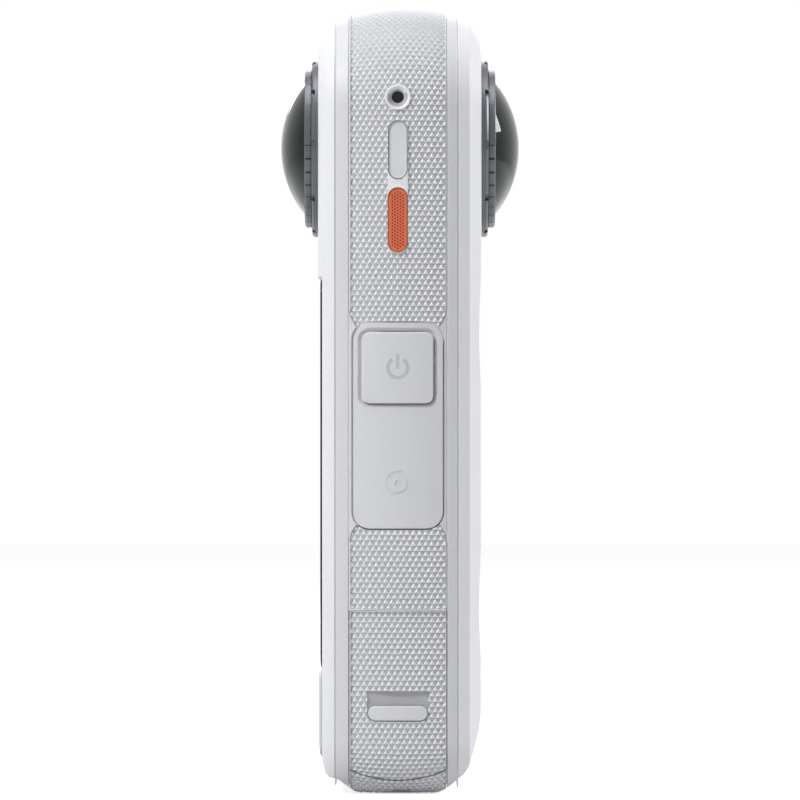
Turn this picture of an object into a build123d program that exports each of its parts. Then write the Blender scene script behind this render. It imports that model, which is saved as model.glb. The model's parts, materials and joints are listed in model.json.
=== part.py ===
from build123d import *
from math import sqrt
import os

# Pocket 360 degree camera with two opposed fisheye lenses, in millimetres.
# Z is up from the flat base, the touchscreen faces -Y, the buttons face +X.
os.makedirs("parts", exist_ok=True)

# Overall form
width = 46.0
height = 124.5
front_depth = 12.95
back_depth = 12.86
top_corner = 16.0
base_corner = 8.5
crown_radius = 31.0
front_round = 7.5
back_round = 7.0
back_crease_depth = 10.94
back_crease_inset = 2.3
front_edge_shares = [(0.965, 0.83), (0.67, 0.43)]
back_edge_shares = (0.984, 0.77)
base_drop = 0.8
overrun = 1.0

# Where the casing splits into a front shell, a middle frame and a rear shell
front_seam = 10.1
back_seam = 9.03
seam_gap = 0.15
seam_groove = 0.12
front_lip_slope_share = 0.35
frame_wall = 3.0
shell_wall = 1.5
shell_rim = 3.4

# The foot, drawn from the front of the base to its back
foot_front = 6.8
foot_back = 6.1
foot_front_rise = 8.5
foot_back_rise = 13.0
foot_front_shares = [
    (0.25, 0.146), (0.47, 0.266), (0.70, 0.304), (0.80, 0.36), (0.90, 0.65), (0.943, 0.753),
]
foot_back_shares = [
    (0.19, 0.07), (0.28, 0.108), (0.46, 0.192), (0.58, 0.238),
    (0.71, 0.338), (0.77, 0.462), (0.81, 0.53), (0.93, 0.754),
]

# The grip panels lie in a channel that runs round the middle frame
grip_front = 8.06
grip_back = 7.43
grip_depth = 1.3
grip_gap = 0.12
grip_flare = 4.6
grip_overlap = 2.15

# The key plate with the power button, on the right side
plate_drop = 28.2
plate_height = 32.4
plate_width = 14.3
plate_radius = 2.7
plate_recess = 0.3
plate_gap = 0.15
plate_back = 1.7
plate_pocket = 2.3
power_size = 11.2
power_radius = 1.2
power_drop = 7.15
power_gap = 0.15
trough_slope = 0.55
key_edge = 0.25
quick_rise = 7.2
quick_ring_radius = 1.9
quick_ring_width = 0.45
icon_depth = 0.12
power_icon_radius = 1.8
power_icon_line = 0.5
power_icon_mouth = 2.0
power_bar_length = 2.35
power_bar_rise = 1.0
stem_radius = 1.5
stem_gap = 0.3
stem_length = 2.1
switch_size = 3.4
switch_height = 1.0
switch_gap = 0.42
board_thickness = 0.6
post_radius = 1.5
screw_radius = 0.55
screw_head_radius = 1.1
screw_head_height = 0.5

# Ports in the smooth strip of the upper grip
strip_centre = -0.35
port_rise = 7.1
port_radius = 0.95
port_sink_radius = 1.87
port_sink_angle = 90
port_mesh_radius = 1.4
port_mesh_depth = 1.85
port_mesh_thickness = 0.25
light_drop = 1.2
light_length = 9.0
light_width = 2.8
light_recess = 0.35
grille_drop = 12.2
grille_length = 10.0
grille_width = 2.9
grille_recess = 0.25
grille_pitch_across = 0.41
grille_pitch_along = 0.49
grille_hole_radius = 0.14
grille_columns = 5
grille_rows = 17
sound_slot_width = 1.6
microphone_radius = 1.6
microphone_height = 1.2
microphone_seat = 0.35

# Touchscreen and the two keys below it
land_depth = 12.25
land_bottom = 5.0
land_drop = 21
glass_front = 12.55
glass_thickness = 0.7
glass_bottom = 19.9
glass_inset = 0.3
glass_side = 4.0
glass_radius = 3.0
window_margin = 2.2
display_thickness = 1.4
tray_thickness = 0.9
tray_rim = 3.0
spreader_thickness = 0.6
key_bottom = 5.7
key_top = 19.3
key_front = 12.9
key_radius = 1.6
key_gap = 0.3
key_back = 11.7
key_foot_thickness = 0.6
key_boss_length = 1.0
record_dot_radius = 2.1
lens_icon_radius = 1.7

# Lenses, alike at the front and the back
lens_drop = 22.1
base_ring_radius = 14.2
base_ring_bore = 11.6
base_ring_foot = 12.3
base_ring_top = 14.05
base_ring_notches = 10
base_ring_notch_width = 1.3
base_ring_notch_depth = 0.55
base_ring_clearance = 0.1
guard_radius = 12.7
guard_top = 15.2
guard_gap = 0.12
guard_skirt_radius = 11.2
guard_skirt_wall = 0.8
guard_skirt_foot = 12.6
guard_ledge = 14.5
guard_lip_radius = 10.95
guard_chamfer = 0.3
guard_grooves = 36
guard_groove_radius = 0.2
dome_radius = 16.7
dome_apex = 19.1
dome_thickness = 0.6
objective_radius = 15.2
objective_apex = 18.1
objective_edge_radius = 9.9
objective_foot = 12.4
objective_hollow_radius = 9.4
objective_hollow_apex = 16.4
barrel_radius = 10.0
barrel_shoulder = 8.0
barrel_neck_radius = 7.0
barrel_foot = 4.6
barrel_bore_radius = 4.8
barrel_mouth_radius = 8.6
barrel_mouth_floor = 10.6
barrel_base = 13.0
relay_curve = 5.6
relay_thickness = 2.4
relay_ledge = 0.6
sensor_board_inner = 2.0
sensor_board_thickness = 1.0
sensor_board_width = 22.0
sensor_board_height = 22.0
sensor_size = 8.5
sensor_height = 0.7
carrier_half = 2.0
carrier_drop = 18
carrier_gap = 0.15
carrier_window = 7.0

# Cover over the charging port, hinged along its top edge
door_thickness = 1.9
door_gap = 0.15
door_top = 28.8
door_edge = 4.6
door_dip = 2.35
door_axis_depth = 1.75
door_nose_radius = 2.4
door_nose_gap = 0.15
door_pin_radius = 0.25
door_pin_fit = 0.04
door_pin_reach = 0.5
door_ear_radius = 0.8
door_ear_width = 1.8
door_ear_inset = 0.6
hinge_housing_depth = 2.2
hinge_housing_margin = 0.6
latch_centre = 12.9
latch_length = 9.3
latch_width = 2.3
latch_window = 2.2
latch_travel = 1.6
latch_tongue_drop = 0.8
latch_slot_width = 0.5
latch_recess = 0.6
latch_gap = 0.15
latch_tongue_width = 3.0
bay_front = 5.0
bay_back = 4.4
bay_bottom = 12.6
bay_top = 24.0
bay_wall = 0.8
bay_depth = 4.0
seal_width = 0.7
seal_height = 0.7
usb_width = 3.26
usb_length = 8.94
usb_depth = 7.3
usb_wall = 0.3
usb_tongue = 0.7
usb_tongue_length = 5.0
usb_board_height = 9.6
usb_board_width = 9.0

# Battery with its cover, in the left side
cover_bottom = 21.2
cover_drop = 18.9
cover_gap = 0.15
pack_bottom = 24.6
pack_drop = 24.8
pack_front = 7.4
pack_back = 6.8
pack_clearance = 8.7
pack_radius = 1.2
pack_gap = 0.4
chassis_wall = 0.7
chassis_end = 1.0
terminal_width = 6.0
terminal_height = 9.0
terminal_pads = 4
terminal_pad_pitch = 2.0
terminal_pad_size = 1.1
terminal_pad_depth = 0.25
contact_depth = 1.8
battery_latch_centre = 31.0

# Electronics behind the rear shell and in the base
main_board_front = 9.3
main_board_thickness = 0.8
main_board_inset = 5.5
main_board_drop = 18.4
main_board_bottom = 18.0
shield_height = 0.9
shield_width = 24.0
shield_length = 20.0
shield_gap = 4.0
pad_gap = 0.2
standoff_radius = 1.6
standoff_across = 12.5
standoff_low = 28.0
standoff_drop = 28.4
card_length = 15.0
card_width = 11.0
card_thickness = 1.0
card_proud = 0.7
socket_length = 14.5
socket_wall = 0.35
socket_gap = 0.1
key_board_height = 16.5
key_board_width = 28.0
key_board_front = 8.4
speaker_width = 6.6
speaker_length = 12.5
speaker_height = 5.0
speaker_offset = 11.2

# Tripod socket: a quarter inch, 20 threads per inch bush in the base
tripod_bore_radius = 2.6
tripod_bore_depth = 6.5
tripod_body_radius = 4.4
tripod_flange_radius = 5.6
tripod_length = 8.5
tripod_boss_radius = 6.2
tripod_fit = 0.1

# Shallow waves across the back
wave_count = 2
wave_depth = 0.38
wave_half_height = 9.0
wave_centre = 77.0
wave_spacing = 43.0
wave_tilt = 14

# Places worked out from the sizes above
side = width / 2
foot_depth_front = front_depth - foot_front
foot_depth_back = back_depth - foot_back
grip_width = grip_front + grip_back
grip_centre = (grip_back - grip_front) / 2
lens_height = height - lens_drop
port_centre = lens_height + port_rise
light_centre = lens_height - light_drop
grille_centre = lens_height - grille_drop
plate_top = lens_height - plate_drop
plate_bottom = plate_top - plate_height
plate_centre = (plate_top + plate_bottom) / 2
power_centre = plate_top - power_drop
quick_centre = plate_bottom + quick_rise
land_top = lens_height - land_drop
glass_top = land_top - glass_inset
glass_width = width - 2 * glass_side
carrier_bottom = lens_height - carrier_drop
cover_top = lens_height - cover_drop
pack_top = lens_height - pack_drop
main_board_top = lens_height - main_board_drop
standoff_high = lens_height - standoff_drop
inner_side = side - frame_wall
pocket_floor = side - plate_pocket
door_axis_x = side - door_axis_depth
door_axis_z = door_top - sqrt(door_nose_radius**2 - door_axis_depth**2)
far = 2 * height


def arch(distance):
    """How far the arched edge falls at a distance from the middle plane."""
    return crown_radius - sqrt(crown_radius**2 - distance**2)


def plane_at(y):
    """Upright plane facing the front, so that a sketch on it is extruded towards -Y."""
    return Plane.XZ.offset(-y)


def draw_outline(inset, mode=Mode.ADD):
    """The rounded outline of the camera seen from the front, drawn in by inset."""
    with BuildLine() as outline:
        FilletPolyline(
            (0, height - inset), (side - inset, height - inset), (side - inset, inset), (0, inset),
            radius=[top_corner - inset, base_corner - inset],
        )
        mirror(about=Plane.YZ)
    make_face(outline.edges(), mode=mode)


def draw_slot(centre_y, centre_z, length, breadth):
    """An upright slot with round ends on a side plane."""
    with Locations((centre_y, centre_z)):
        SlotOverall(length, breadth, rotation=90)


def draw_latch_recess(centre_z):
    """The outline of a latch with its room above it, which ends square at the top."""
    recess_rise = latch_window + latch_width / 2 + latch_gap
    with Locations((strip_centre, centre_z)):
        SlotOverall(latch_length + 2 * latch_gap, latch_width + 2 * latch_gap)
    with Locations((strip_centre, centre_z + recess_rise / 2)):
        Rectangle(latch_length + 2 * latch_gap, recess_rise)


def export(builder, name):
    builder.part.label = name
    export_step(builder.part, f"parts/{name}.step")
    print(name, round(builder.part.volume, 2), "valid" if builder.part.is_valid else "NOT VALID")


# The edge that is rolled round the outline, from the front face over the crown to the back face.
# It passes a little under the base, so that the foot is cut flat. The seams have bevelled lips.
with BuildLine(Plane.XZ) as half_outline:
    FilletPolyline(
        (0, height), (side, height), (side, -base_drop), (0, -base_drop),
        radius=[top_corner, base_corner],
    )

front_lip = front_seam + seam_gap + seam_groove
back_lip = back_seam + seam_gap + seam_groove
front_fall = arch(front_seam)
back_fall = arch(back_seam)
front_rise = front_depth - front_seam
back_slope = (back_crease_inset - back_fall) / (back_crease_depth - back_seam)
crown_bands = [
    (-front_seam + seam_groove, -grip_front - seam_groove),
    (-grip_front + grip_gap + seam_groove, grip_back - grip_gap - seam_groove),
    (grip_back + seam_groove, back_seam - seam_groove),
]
crown_gaps = [(-grip_front, -grip_front + grip_gap), (grip_back - grip_gap, grip_back)]

with BuildPart() as edge_form:
    with BuildSketch(Plane(origin=(0, 0, height), x_dir=(0, 1, 0), z_dir=(1, 0, 0))):
        with BuildLine():
            rounded = ThreePointArc(
                *[(-front_seam - out * front_rise, -down * front_round) for out, down in front_edge_shares],
                (-front_lip, -front_fall - front_lip_slope_share * (front_lip - front_seam)),
            )
            crown = []
            for start, end in crown_bands:
                middle = (start + end) / 2
                crown.append(
                    ThreePointArc((start, -arch(start)), (middle, -arch(middle)), (end, -arch(end)))
                )
            Polyline(
                rounded @ 1,
                (-front_seam - seam_gap, -front_fall - seam_groove),
                (-front_seam, -front_fall - seam_groove),
                crown[0] @ 0,
            )
            for index in range(len(crown_gaps)):
                gap_start, gap_end = crown_gaps[index]
                Polyline(
                    crown[index] @ 1,
                    (gap_start, -arch(gap_start) - seam_groove),
                    (gap_end, -arch(gap_end) - seam_groove),
                    crown[index + 1] @ 0,
                )
            Polyline(
                crown[-1] @ 1,
                (back_seam, -back_fall - seam_groove),
                (back_seam + seam_gap, -back_fall - seam_groove),
                (back_lip, -back_fall - back_slope * (back_lip - back_seam)),
                (back_crease_depth, -back_crease_inset),
                (back_edge_shares[0] * back_depth, -back_edge_shares[1] * back_round),
                (back_depth, -back_round),
                (back_depth + overrun, -back_round),
                (back_depth + overrun, overrun),
                (-front_depth - overrun, overrun),
                (-front_depth - overrun, -front_round),
                (-front_depth, -front_round),
                rounded @ 0,
            )
        make_face()
    sweep(path=half_outline.wire())
    mirror(about=Plane.YZ)

# The whole body as one closed form, from which the casing parts are cut
with BuildPart() as body_form:
    with BuildSketch(plane_at(back_depth)):
        draw_outline(-overrun / 2)
    extrude(amount=back_depth + front_depth)
    add(edge_form.part, mode=Mode.SUBTRACT)
    with BuildSketch(Plane.YZ.offset(-width)):
        with BuildLine():
            Polyline(
                (-front_depth - overrun, foot_front_rise),
                (-front_depth, foot_front_rise),
                *[
                    (-foot_front - y * foot_depth_front, z * foot_front_rise)
                    for y, z in reversed(foot_front_shares)
                ],
                (-foot_front, 0),
                (foot_back, 0),
                *[(foot_back + y * foot_depth_back, z * foot_back_rise) for y, z in foot_back_shares],
                (back_depth, foot_back_rise),
                (back_depth + overrun, foot_back_rise),
                (back_depth + overrun, -overrun),
                (-front_depth - overrun, -overrun),
                close=True,
            )
        make_face()
    extrude(amount=2 * width, mode=Mode.SUBTRACT)
    wave_radius = (wave_half_height**2 + wave_depth**2) / (2 * wave_depth)
    for index in range(wave_count):
        wave_plane = Plane(
            origin=(0, back_depth + wave_radius - wave_depth, wave_centre - index * wave_spacing),
            z_dir=(1, 0, 0),
        ).rotated((0, wave_tilt, 0))
        with BuildSketch(wave_plane):
            Circle(wave_radius)
        extrude(amount=width, both=True, mode=Mode.SUBTRACT)


def channel_form(gap):
    """The space of the grip channel round the frame, narrowed by a gap on each side."""
    with BuildPart() as form:
        with BuildSketch(plane_at(grip_back - gap)):
            draw_outline(-overrun)
            draw_outline(grip_depth, mode=Mode.SUBTRACT)
        extrude(amount=grip_width - 2 * gap)
        with BuildSketch(Plane.YZ.offset(inner_side)):
            with Locations((grip_centre, plate_centre)):
                Rectangle(grip_width + 2 * overrun, plate_height + 4 * grip_flare)
            for end, direction in ((plate_top - grip_overlap, 1), (plate_bottom + grip_overlap, -1)):
                with Locations((grip_centre, end + direction * (gap + plate_height / 2))):
                    RectangleRounded(
                        grip_width - 2 * gap, plate_height, grip_flare, mode=Mode.SUBTRACT
                    )
            # the panels end along the key plate
            with Locations((strip_centre, plate_centre)):
                edge = plate_gap - grip_gap + gap
                RectangleRounded(
                    plate_width + 2 * edge, plate_height + 2 * edge, plate_radius + edge
                )
        extrude(amount=frame_wall + 2 * overrun, mode=Mode.SUBTRACT)
    return form.part


def door_region(gap):
    """The right side between the curved lower edge of the port cover and its hinge, grown by a gap."""
    with BuildPart() as form:
        with BuildSketch(Plane.YZ):
            with BuildLine():
                low = ThreePointArc(
                    (-grip_front - overrun, door_edge - gap),
                    (grip_centre, door_dip - gap),
                    (grip_back + overrun, door_edge - gap),
                )
                Polyline(
                    low @ 1,
                    (grip_back + overrun, door_axis_z),
                    (-grip_front - overrun, door_axis_z),
                    low @ 0,
                )
            make_face()
        extrude(amount=width)
    return form.part


def cylinder_along_y(x, z, radius, y_from, y_to, mode=Mode.ADD):
    with BuildSketch(plane_at(y_to)) as disc:
        with Locations((x, z)):
            Circle(radius)
    extrude(disc.sketch, amount=y_to - y_from, mode=mode)


def hinge_nose(gap):
    """The rolled upper edge of the port cover about its hinge, level with the arched side."""
    rise = door_top - door_axis_z
    with BuildPart() as form:
        with BuildSketch(Plane.XY.offset(door_axis_z)) as profile:
            with BuildLine():
                front, back = -grip_front - gap + door_gap, grip_back + gap - door_gap
                edge = ThreePointArc(
                    (door_axis_x + sqrt((door_axis_depth - arch(front)) ** 2 + rise**2) + gap, front),
                    (door_axis_x + door_nose_radius + gap, 0),
                    (door_axis_x + sqrt((door_axis_depth - arch(back)) ** 2 + rise**2) + gap, back),
                )
                Polyline(edge @ 1, (door_axis_x, back), (door_axis_x, front), edge @ 0)
            make_face()
        revolve(profile.sketch, axis=Axis((door_axis_x, 0, door_axis_z), (0, 1, 0)))
    return form.part


def box_between(low, high, mode=Mode.ADD):
    """A block from its lowest to its highest corner."""
    with BuildSketch(Plane.XY.offset(low[2])) as base:
        with Locations(((low[0] + high[0]) / 2, (low[1] + high[1]) / 2)):
            Rectangle(high[0] - low[0], high[1] - low[1])
    extrude(base.sketch, amount=high[2] - low[2], mode=mode)


channel = channel_form(0)
grip_band = channel_form(grip_gap)
power_hole = power_size + 2 * power_gap
pack_wall_front = -pack_front - pack_gap
pack_wall_back = pack_back + pack_gap
pack_floor = pack_bottom - pack_gap
pack_ceiling = pack_top + pack_gap
chassis_front = pack_wall_front - chassis_wall
chassis_back = pack_wall_back + chassis_wall
chassis_bottom = pack_floor - chassis_wall
chassis_top = pack_ceiling + chassis_wall
chassis_left = -inner_side + seam_gap
pack_right = inner_side - pack_clearance
chassis_right = pack_right + pack_gap + chassis_end
card_bottom = chassis_top + socket_gap + socket_wall + socket_gap
side_board_x = pocket_floor - stem_length + plate_pocket - plate_back - switch_gap - switch_height
hinge_floor = door_axis_z - door_ear_radius - door_nose_gap
side_post_heights = [plate_bottom + post_radius, (power_centre + quick_centre) / 2, plate_top]

# Spaces that the port cover and its rolled hinge take out of the frame
with BuildPart() as door_recess:
    with BuildSketch(plane_at(grip_back)):
        draw_outline(-overrun)
        draw_outline(door_thickness + door_gap, mode=Mode.SUBTRACT)
    extrude(amount=grip_width)
    add(door_region(door_gap), mode=Mode.INTERSECT)

with BuildPart() as hinge_space:
    add(hinge_nose(door_nose_gap))
    box_between((0, -front_depth, 0), (side + overrun, back_depth, hinge_floor), Mode.SUBTRACT)

# Middle frame
with BuildPart() as mid_frame:
    add(body_form.part)
    with BuildSketch(plane_at(back_seam)):
        Rectangle(far, far)
    extrude(amount=back_seam + front_seam, mode=Mode.INTERSECT)
    with BuildSketch(plane_at(back_seam)):
        draw_outline(frame_wall)
    extrude(amount=back_seam + front_seam, mode=Mode.SUBTRACT)
    # the bosses for the key board and the boss of the tripod bush
    with BuildSketch(Plane.YZ.offset(side_board_x)):
        with Locations(*[(strip_centre, z) for z in side_post_heights]):
            Circle(post_radius)
    extrude(amount=inner_side - side_board_x + overrun / 2)
    with BuildSketch(Plane.XY.offset(grip_depth)):
        with Locations((0, grip_centre)):
            Circle(tripod_boss_radius)
    extrude(amount=tripod_length - grip_depth)
    add(channel, mode=Mode.SUBTRACT)
    # recess of the key plate, with openings for its two stems
    with BuildSketch(Plane.YZ.offset(pocket_floor)):
        with Locations((strip_centre, plate_centre)):
            RectangleRounded(
                plate_width + 2 * plate_gap, plate_height + 2 * plate_gap, plate_radius + plate_gap
            )
    extrude(amount=frame_wall, mode=Mode.SUBTRACT)
    with BuildSketch(Plane.YZ.offset(side_board_x + switch_height)):
        with Locations((strip_centre, power_centre), (strip_centre, quick_centre)):
            Circle(stem_radius + stem_gap)
        draw_slot(strip_centre, grille_centre, grille_length - grille_width, sound_slot_width)
        draw_slot(strip_centre, light_centre, light_length - light_width, sound_slot_width)
        with Locations((strip_centre, port_centre)):
            Circle(port_radius)
    extrude(amount=2 * frame_wall, mode=Mode.SUBTRACT)
    with BuildSketch(Plane.YZ.offset(side - port_mesh_depth - port_mesh_thickness)):
        with Locations((strip_centre, port_centre)):
            Circle(port_mesh_radius + grip_gap)
    extrude(amount=frame_wall, mode=Mode.SUBTRACT)
    # recess of the port cover, its rolled hinge and the opening of the charging bay
    add(door_recess.part, mode=Mode.SUBTRACT)
    add(hinge_space.part, mode=Mode.SUBTRACT)
    cylinder_along_y(
        door_axis_x, door_axis_z, door_pin_radius, -grip_front - door_pin_reach,
        grip_back + door_pin_reach, Mode.SUBTRACT,
    )
    box_between(
        (inner_side - overrun, -bay_front, bay_bottom), (side, bay_back, bay_top), Mode.SUBTRACT
    )
    # opening of the battery bay and the card slot above it
    box_between(
        (-side, pack_wall_front, pack_floor), (-inner_side + overrun, pack_wall_back, pack_ceiling),
        Mode.SUBTRACT,
    )
    box_between(
        (-side, grip_centre - card_width / 2 - socket_gap, card_bottom - socket_gap),
        (
            -inner_side + overrun,
            grip_centre + card_width / 2 + socket_gap,
            card_bottom + card_thickness + socket_gap,
        ),
        Mode.SUBTRACT,
    )
    # hole of the tripod bush
    with BuildSketch(Plane.XY):
        with Locations((0, grip_centre)):
            Circle(tripod_body_radius + tripod_fit)
    extrude(amount=height / 2, mode=Mode.SUBTRACT)
export(mid_frame, "mid_frame")

# Front shell, with the sunk land of the touchscreen and keys
key_right = glass_width / 2 - seam_gap
with BuildPart() as front_shell:
    add(body_form.part)
    with BuildSketch(plane_at(-front_seam - seam_gap)):
        Rectangle(far, far)
    extrude(amount=front_depth, mode=Mode.INTERSECT)
    with BuildSketch(plane_at(-front_seam)):
        draw_outline(shell_rim)
    extrude(amount=front_depth - shell_wall - front_seam, mode=Mode.SUBTRACT)
    box_between((-side, -front_depth - overrun, land_bottom), (side, -land_depth, land_top), Mode.SUBTRACT)
    with BuildSketch(plane_at(-glass_front + glass_thickness)):
        with Locations((0, (glass_top + glass_bottom) / 2)):
            RectangleRounded(
                glass_width + 2 * seam_gap, glass_top - glass_bottom + 2 * seam_gap, glass_radius
            )
    extrude(amount=glass_thickness, mode=Mode.SUBTRACT)
    with BuildSketch(plane_at(-front_seam)):
        with Locations((0, (glass_top + glass_bottom) / 2)):
            RectangleRounded(
                glass_width - 2 * window_margin, glass_top - glass_bottom - 2 * window_margin, glass_radius
            )
        with Locations(
            (-(key_right + key_gap) / 2, (key_top + key_bottom) / 2),
            ((key_right + key_gap) / 2, (key_top + key_bottom) / 2),
        ):
            RectangleRounded(key_right, key_top - key_bottom + key_gap, key_radius)
        with Locations((0, lens_height)):
            Circle(base_ring_bore + base_ring_clearance)
    extrude(amount=front_depth, mode=Mode.SUBTRACT)
    cylinder_along_y(
        0, lens_height, base_ring_radius + base_ring_clearance, -front_depth - overrun, -base_ring_foot,
        Mode.SUBTRACT,
    )
export(front_shell, "front_shell")

with BuildPart() as rear_shell:
    add(body_form.part)
    with BuildSketch(plane_at(back_depth)):
        Rectangle(far, far)
    extrude(amount=back_depth - back_seam - seam_gap, mode=Mode.INTERSECT)
    with BuildSketch(plane_at(back_depth - shell_wall)):
        draw_outline(shell_rim)
    extrude(amount=back_depth, mode=Mode.SUBTRACT)
    cylinder_along_y(
        0, lens_height, base_ring_bore + base_ring_clearance, 0, back_depth + overrun, Mode.SUBTRACT
    )
    cylinder_along_y(
        0, lens_height, base_ring_radius + base_ring_clearance, base_ring_foot, back_depth + overrun,
        Mode.SUBTRACT,
    )
export(rear_shell, "rear_shell")

# Grip panels
with BuildPart() as top_grip:
    add(grip_band)
    box_between((-side - overrun, -front_depth, -overrun), (0, back_depth, cover_top), Mode.SUBTRACT)
    box_between((0, -front_depth, -overrun), (side + overrun, back_depth, plate_centre), Mode.SUBTRACT)
    add(body_form.part, mode=Mode.INTERSECT)
    with BuildSketch(Plane.YZ.offset(inner_side)):
        draw_slot(strip_centre, grille_centre, grille_length + 2 * grip_gap, grille_width + 2 * grip_gap)
        draw_slot(strip_centre, light_centre, light_length + 2 * grip_gap, light_width + 2 * grip_gap)
    extrude(amount=frame_wall, mode=Mode.SUBTRACT)
    with Locations(Plane.YZ.offset(side - arch(strip_centre))):
        with Locations((strip_centre, port_centre)):
            CounterSinkHole(
                port_radius, port_sink_radius, depth=frame_wall, counter_sink_angle=port_sink_angle
            )
export(top_grip, "top_grip")

with BuildPart() as side_grip:
    add(grip_band)
    box_between(
        (0, -front_depth, door_axis_z), (side + overrun, back_depth, plate_centre), Mode.INTERSECT
    )
    add(hinge_nose(door_nose_gap), mode=Mode.SUBTRACT)
    add(body_form.part, mode=Mode.INTERSECT)
export(side_grip, "side_grip")

with BuildPart() as base_grip:
    add(grip_band)
    box_between(
        (-side - overrun, -front_depth, cover_bottom), (0, back_depth, height + overrun), Mode.SUBTRACT
    )
    box_between((0, -front_depth, door_axis_z), (side + overrun, back_depth, height + overrun), Mode.SUBTRACT)
    add(door_region(door_gap), mode=Mode.SUBTRACT)
    add(body_form.part, mode=Mode.INTERSECT)
    with BuildSketch(Plane.XY):
        with Locations((0, grip_centre)):
            Circle(tripod_flange_radius + tripod_fit)
    extrude(amount=frame_wall, mode=Mode.SUBTRACT)
export(base_grip, "base_grip")

# Key plate, power button and the board behind them
with BuildPart() as plate_face:
    add(body_form.part.moved(Location((-plate_recess, 0, 0))))

with BuildPart() as quick_button:
    with BuildSketch(Plane.YZ.offset(side - plate_back)):
        with Locations((strip_centre, plate_centre)):
            RectangleRounded(plate_width, plate_height, plate_radius)
    extrude(amount=plate_back)
    add(plate_face.part, mode=Mode.INTERSECT)
    fillet(quick_button.faces().sort_by(Axis.X)[-1].edges(), radius=key_edge)
    with BuildSketch(Plane.YZ.offset(side - plate_back)):
        with Locations((strip_centre, power_centre)):
            RectangleRounded(power_hole, power_hole, power_radius + power_gap)
    extrude(amount=plate_back, mode=Mode.SUBTRACT)
    # the face slopes down to the power button all round it
    chamfer(quick_button.faces().sort_by(Axis.X)[-1].inner_wires()[0].edges(), length=trough_slope)
    with BuildSketch(Plane.YZ.offset(side - plate_back - stem_length)):
        with Locations((strip_centre, quick_centre)):
            Circle(stem_radius)
    extrude(amount=stem_length + overrun / 2)
    with BuildSketch(Plane.YZ.offset(side - plate_recess - icon_depth)):
        with Locations((strip_centre, quick_centre)):
            Circle(quick_ring_radius)
            Circle(quick_ring_radius - quick_ring_width, mode=Mode.SUBTRACT)
            Circle(quick_ring_width)
    extrude(amount=plate_recess, mode=Mode.SUBTRACT)
export(quick_button, "quick_button")

with BuildPart() as power_button:
    with BuildSketch(Plane.YZ.offset(side - plate_back)):
        with Locations((strip_centre, power_centre)):
            RectangleRounded(power_size, power_size, power_radius)
    extrude(amount=plate_back)
    add(body_form.part, mode=Mode.INTERSECT)
    fillet(power_button.faces().sort_by(Axis.X)[-1].edges(), radius=key_edge)
    with BuildSketch(Plane.YZ.offset(side - plate_back - stem_length)):
        with Locations((strip_centre, power_centre)):
            Circle(stem_radius)
    extrude(amount=stem_length + overrun / 2)
    # the power symbol: an open ring with a bar in its mouth
    with BuildSketch(Plane.YZ.offset(side - 2 * icon_depth)):
        with Locations((strip_centre, power_centre)):
            Circle(power_icon_radius)
            Circle(power_icon_radius - power_icon_line, mode=Mode.SUBTRACT)
        with Locations((strip_centre, power_centre + power_icon_radius)):
            Rectangle(power_icon_mouth, power_icon_radius, mode=Mode.SUBTRACT)
        draw_slot(strip_centre, power_centre + power_bar_rise, power_bar_length, power_icon_line)
    extrude(amount=plate_recess, mode=Mode.SUBTRACT)
export(power_button, "power_button")

with BuildPart() as side_key_board:
    with BuildSketch(Plane.YZ.offset(side_board_x - board_thickness)):
        with Locations((strip_centre, plate_centre)):
            Rectangle(switch_size + 2 * post_radius, plate_height + 2 * post_radius)
        with Locations(*[(strip_centre, z) for z in side_post_heights]):
            Circle(screw_radius + grip_gap, mode=Mode.SUBTRACT)
    extrude(amount=board_thickness)
export(side_key_board, "side_key_board")

with BuildPart() as side_key_switches:
    with BuildSketch(Plane.YZ.offset(side_board_x)):
        with Locations((strip_centre, power_centre), (strip_centre, quick_centre)):
            RectangleRounded(switch_size, switch_size, switch_size / 8)
    extrude(amount=switch_height)
export(side_key_switches, "side_key_switches")

with BuildPart() as side_board_screws:
    with BuildSketch(Plane.YZ.offset(side_board_x - board_thickness - screw_head_height)):
        with Locations(*[(strip_centre, z) for z in side_post_heights]):
            Circle(screw_head_radius)
    extrude(amount=screw_head_height)
    with BuildSketch(Plane.YZ.offset(side_board_x - board_thickness - screw_head_height)):
        with Locations(*[(strip_centre, z) for z in side_post_heights]):
            Circle(screw_radius)
    extrude(amount=screw_head_height + board_thickness)
export(side_board_screws, "side_board_screws")

# Microphone port, status light and the perforated grille
with BuildPart() as port_mesh:
    with BuildSketch(Plane.YZ.offset(side - port_mesh_depth - port_mesh_thickness)):
        with Locations((strip_centre, port_centre)):
            Circle(port_mesh_radius)
    extrude(amount=port_mesh_thickness)
export(port_mesh, "port_mesh")

with BuildPart() as status_light:
    with BuildSketch(Plane.YZ.offset(side - grip_depth)):
        draw_slot(strip_centre, light_centre, light_length, light_width)
    extrude(amount=grip_depth - light_recess)
export(status_light, "status_light")

with BuildPart() as mic_grille:
    with BuildSketch(Plane.YZ.offset(side - grip_depth)):
        draw_slot(strip_centre, grille_centre, grille_length, grille_width)
        for column in range(grille_columns):
            from_middle = abs(column - grille_columns // 2)
            rows = grille_rows + grille_columns // 2 - from_middle
            place = strip_centre + (column - grille_columns // 2) * grille_pitch_across
            with Locations((place, grille_centre)):
                with GridLocations(grille_pitch_across, grille_pitch_along, 1, rows):
                    RegularPolygon(grille_hole_radius, 6, mode=Mode.SUBTRACT)
    extrude(amount=grip_depth - grille_recess)
export(mic_grille, "mic_grille")

with BuildPart() as microphones:
    with BuildSketch(Plane.YZ.offset(inner_side - microphone_seat - microphone_height)):
        with Locations((strip_centre, port_centre), (strip_centre, grille_centre)):
            Circle(microphone_radius)
    extrude(amount=microphone_height)
export(microphones, "microphones")

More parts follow.
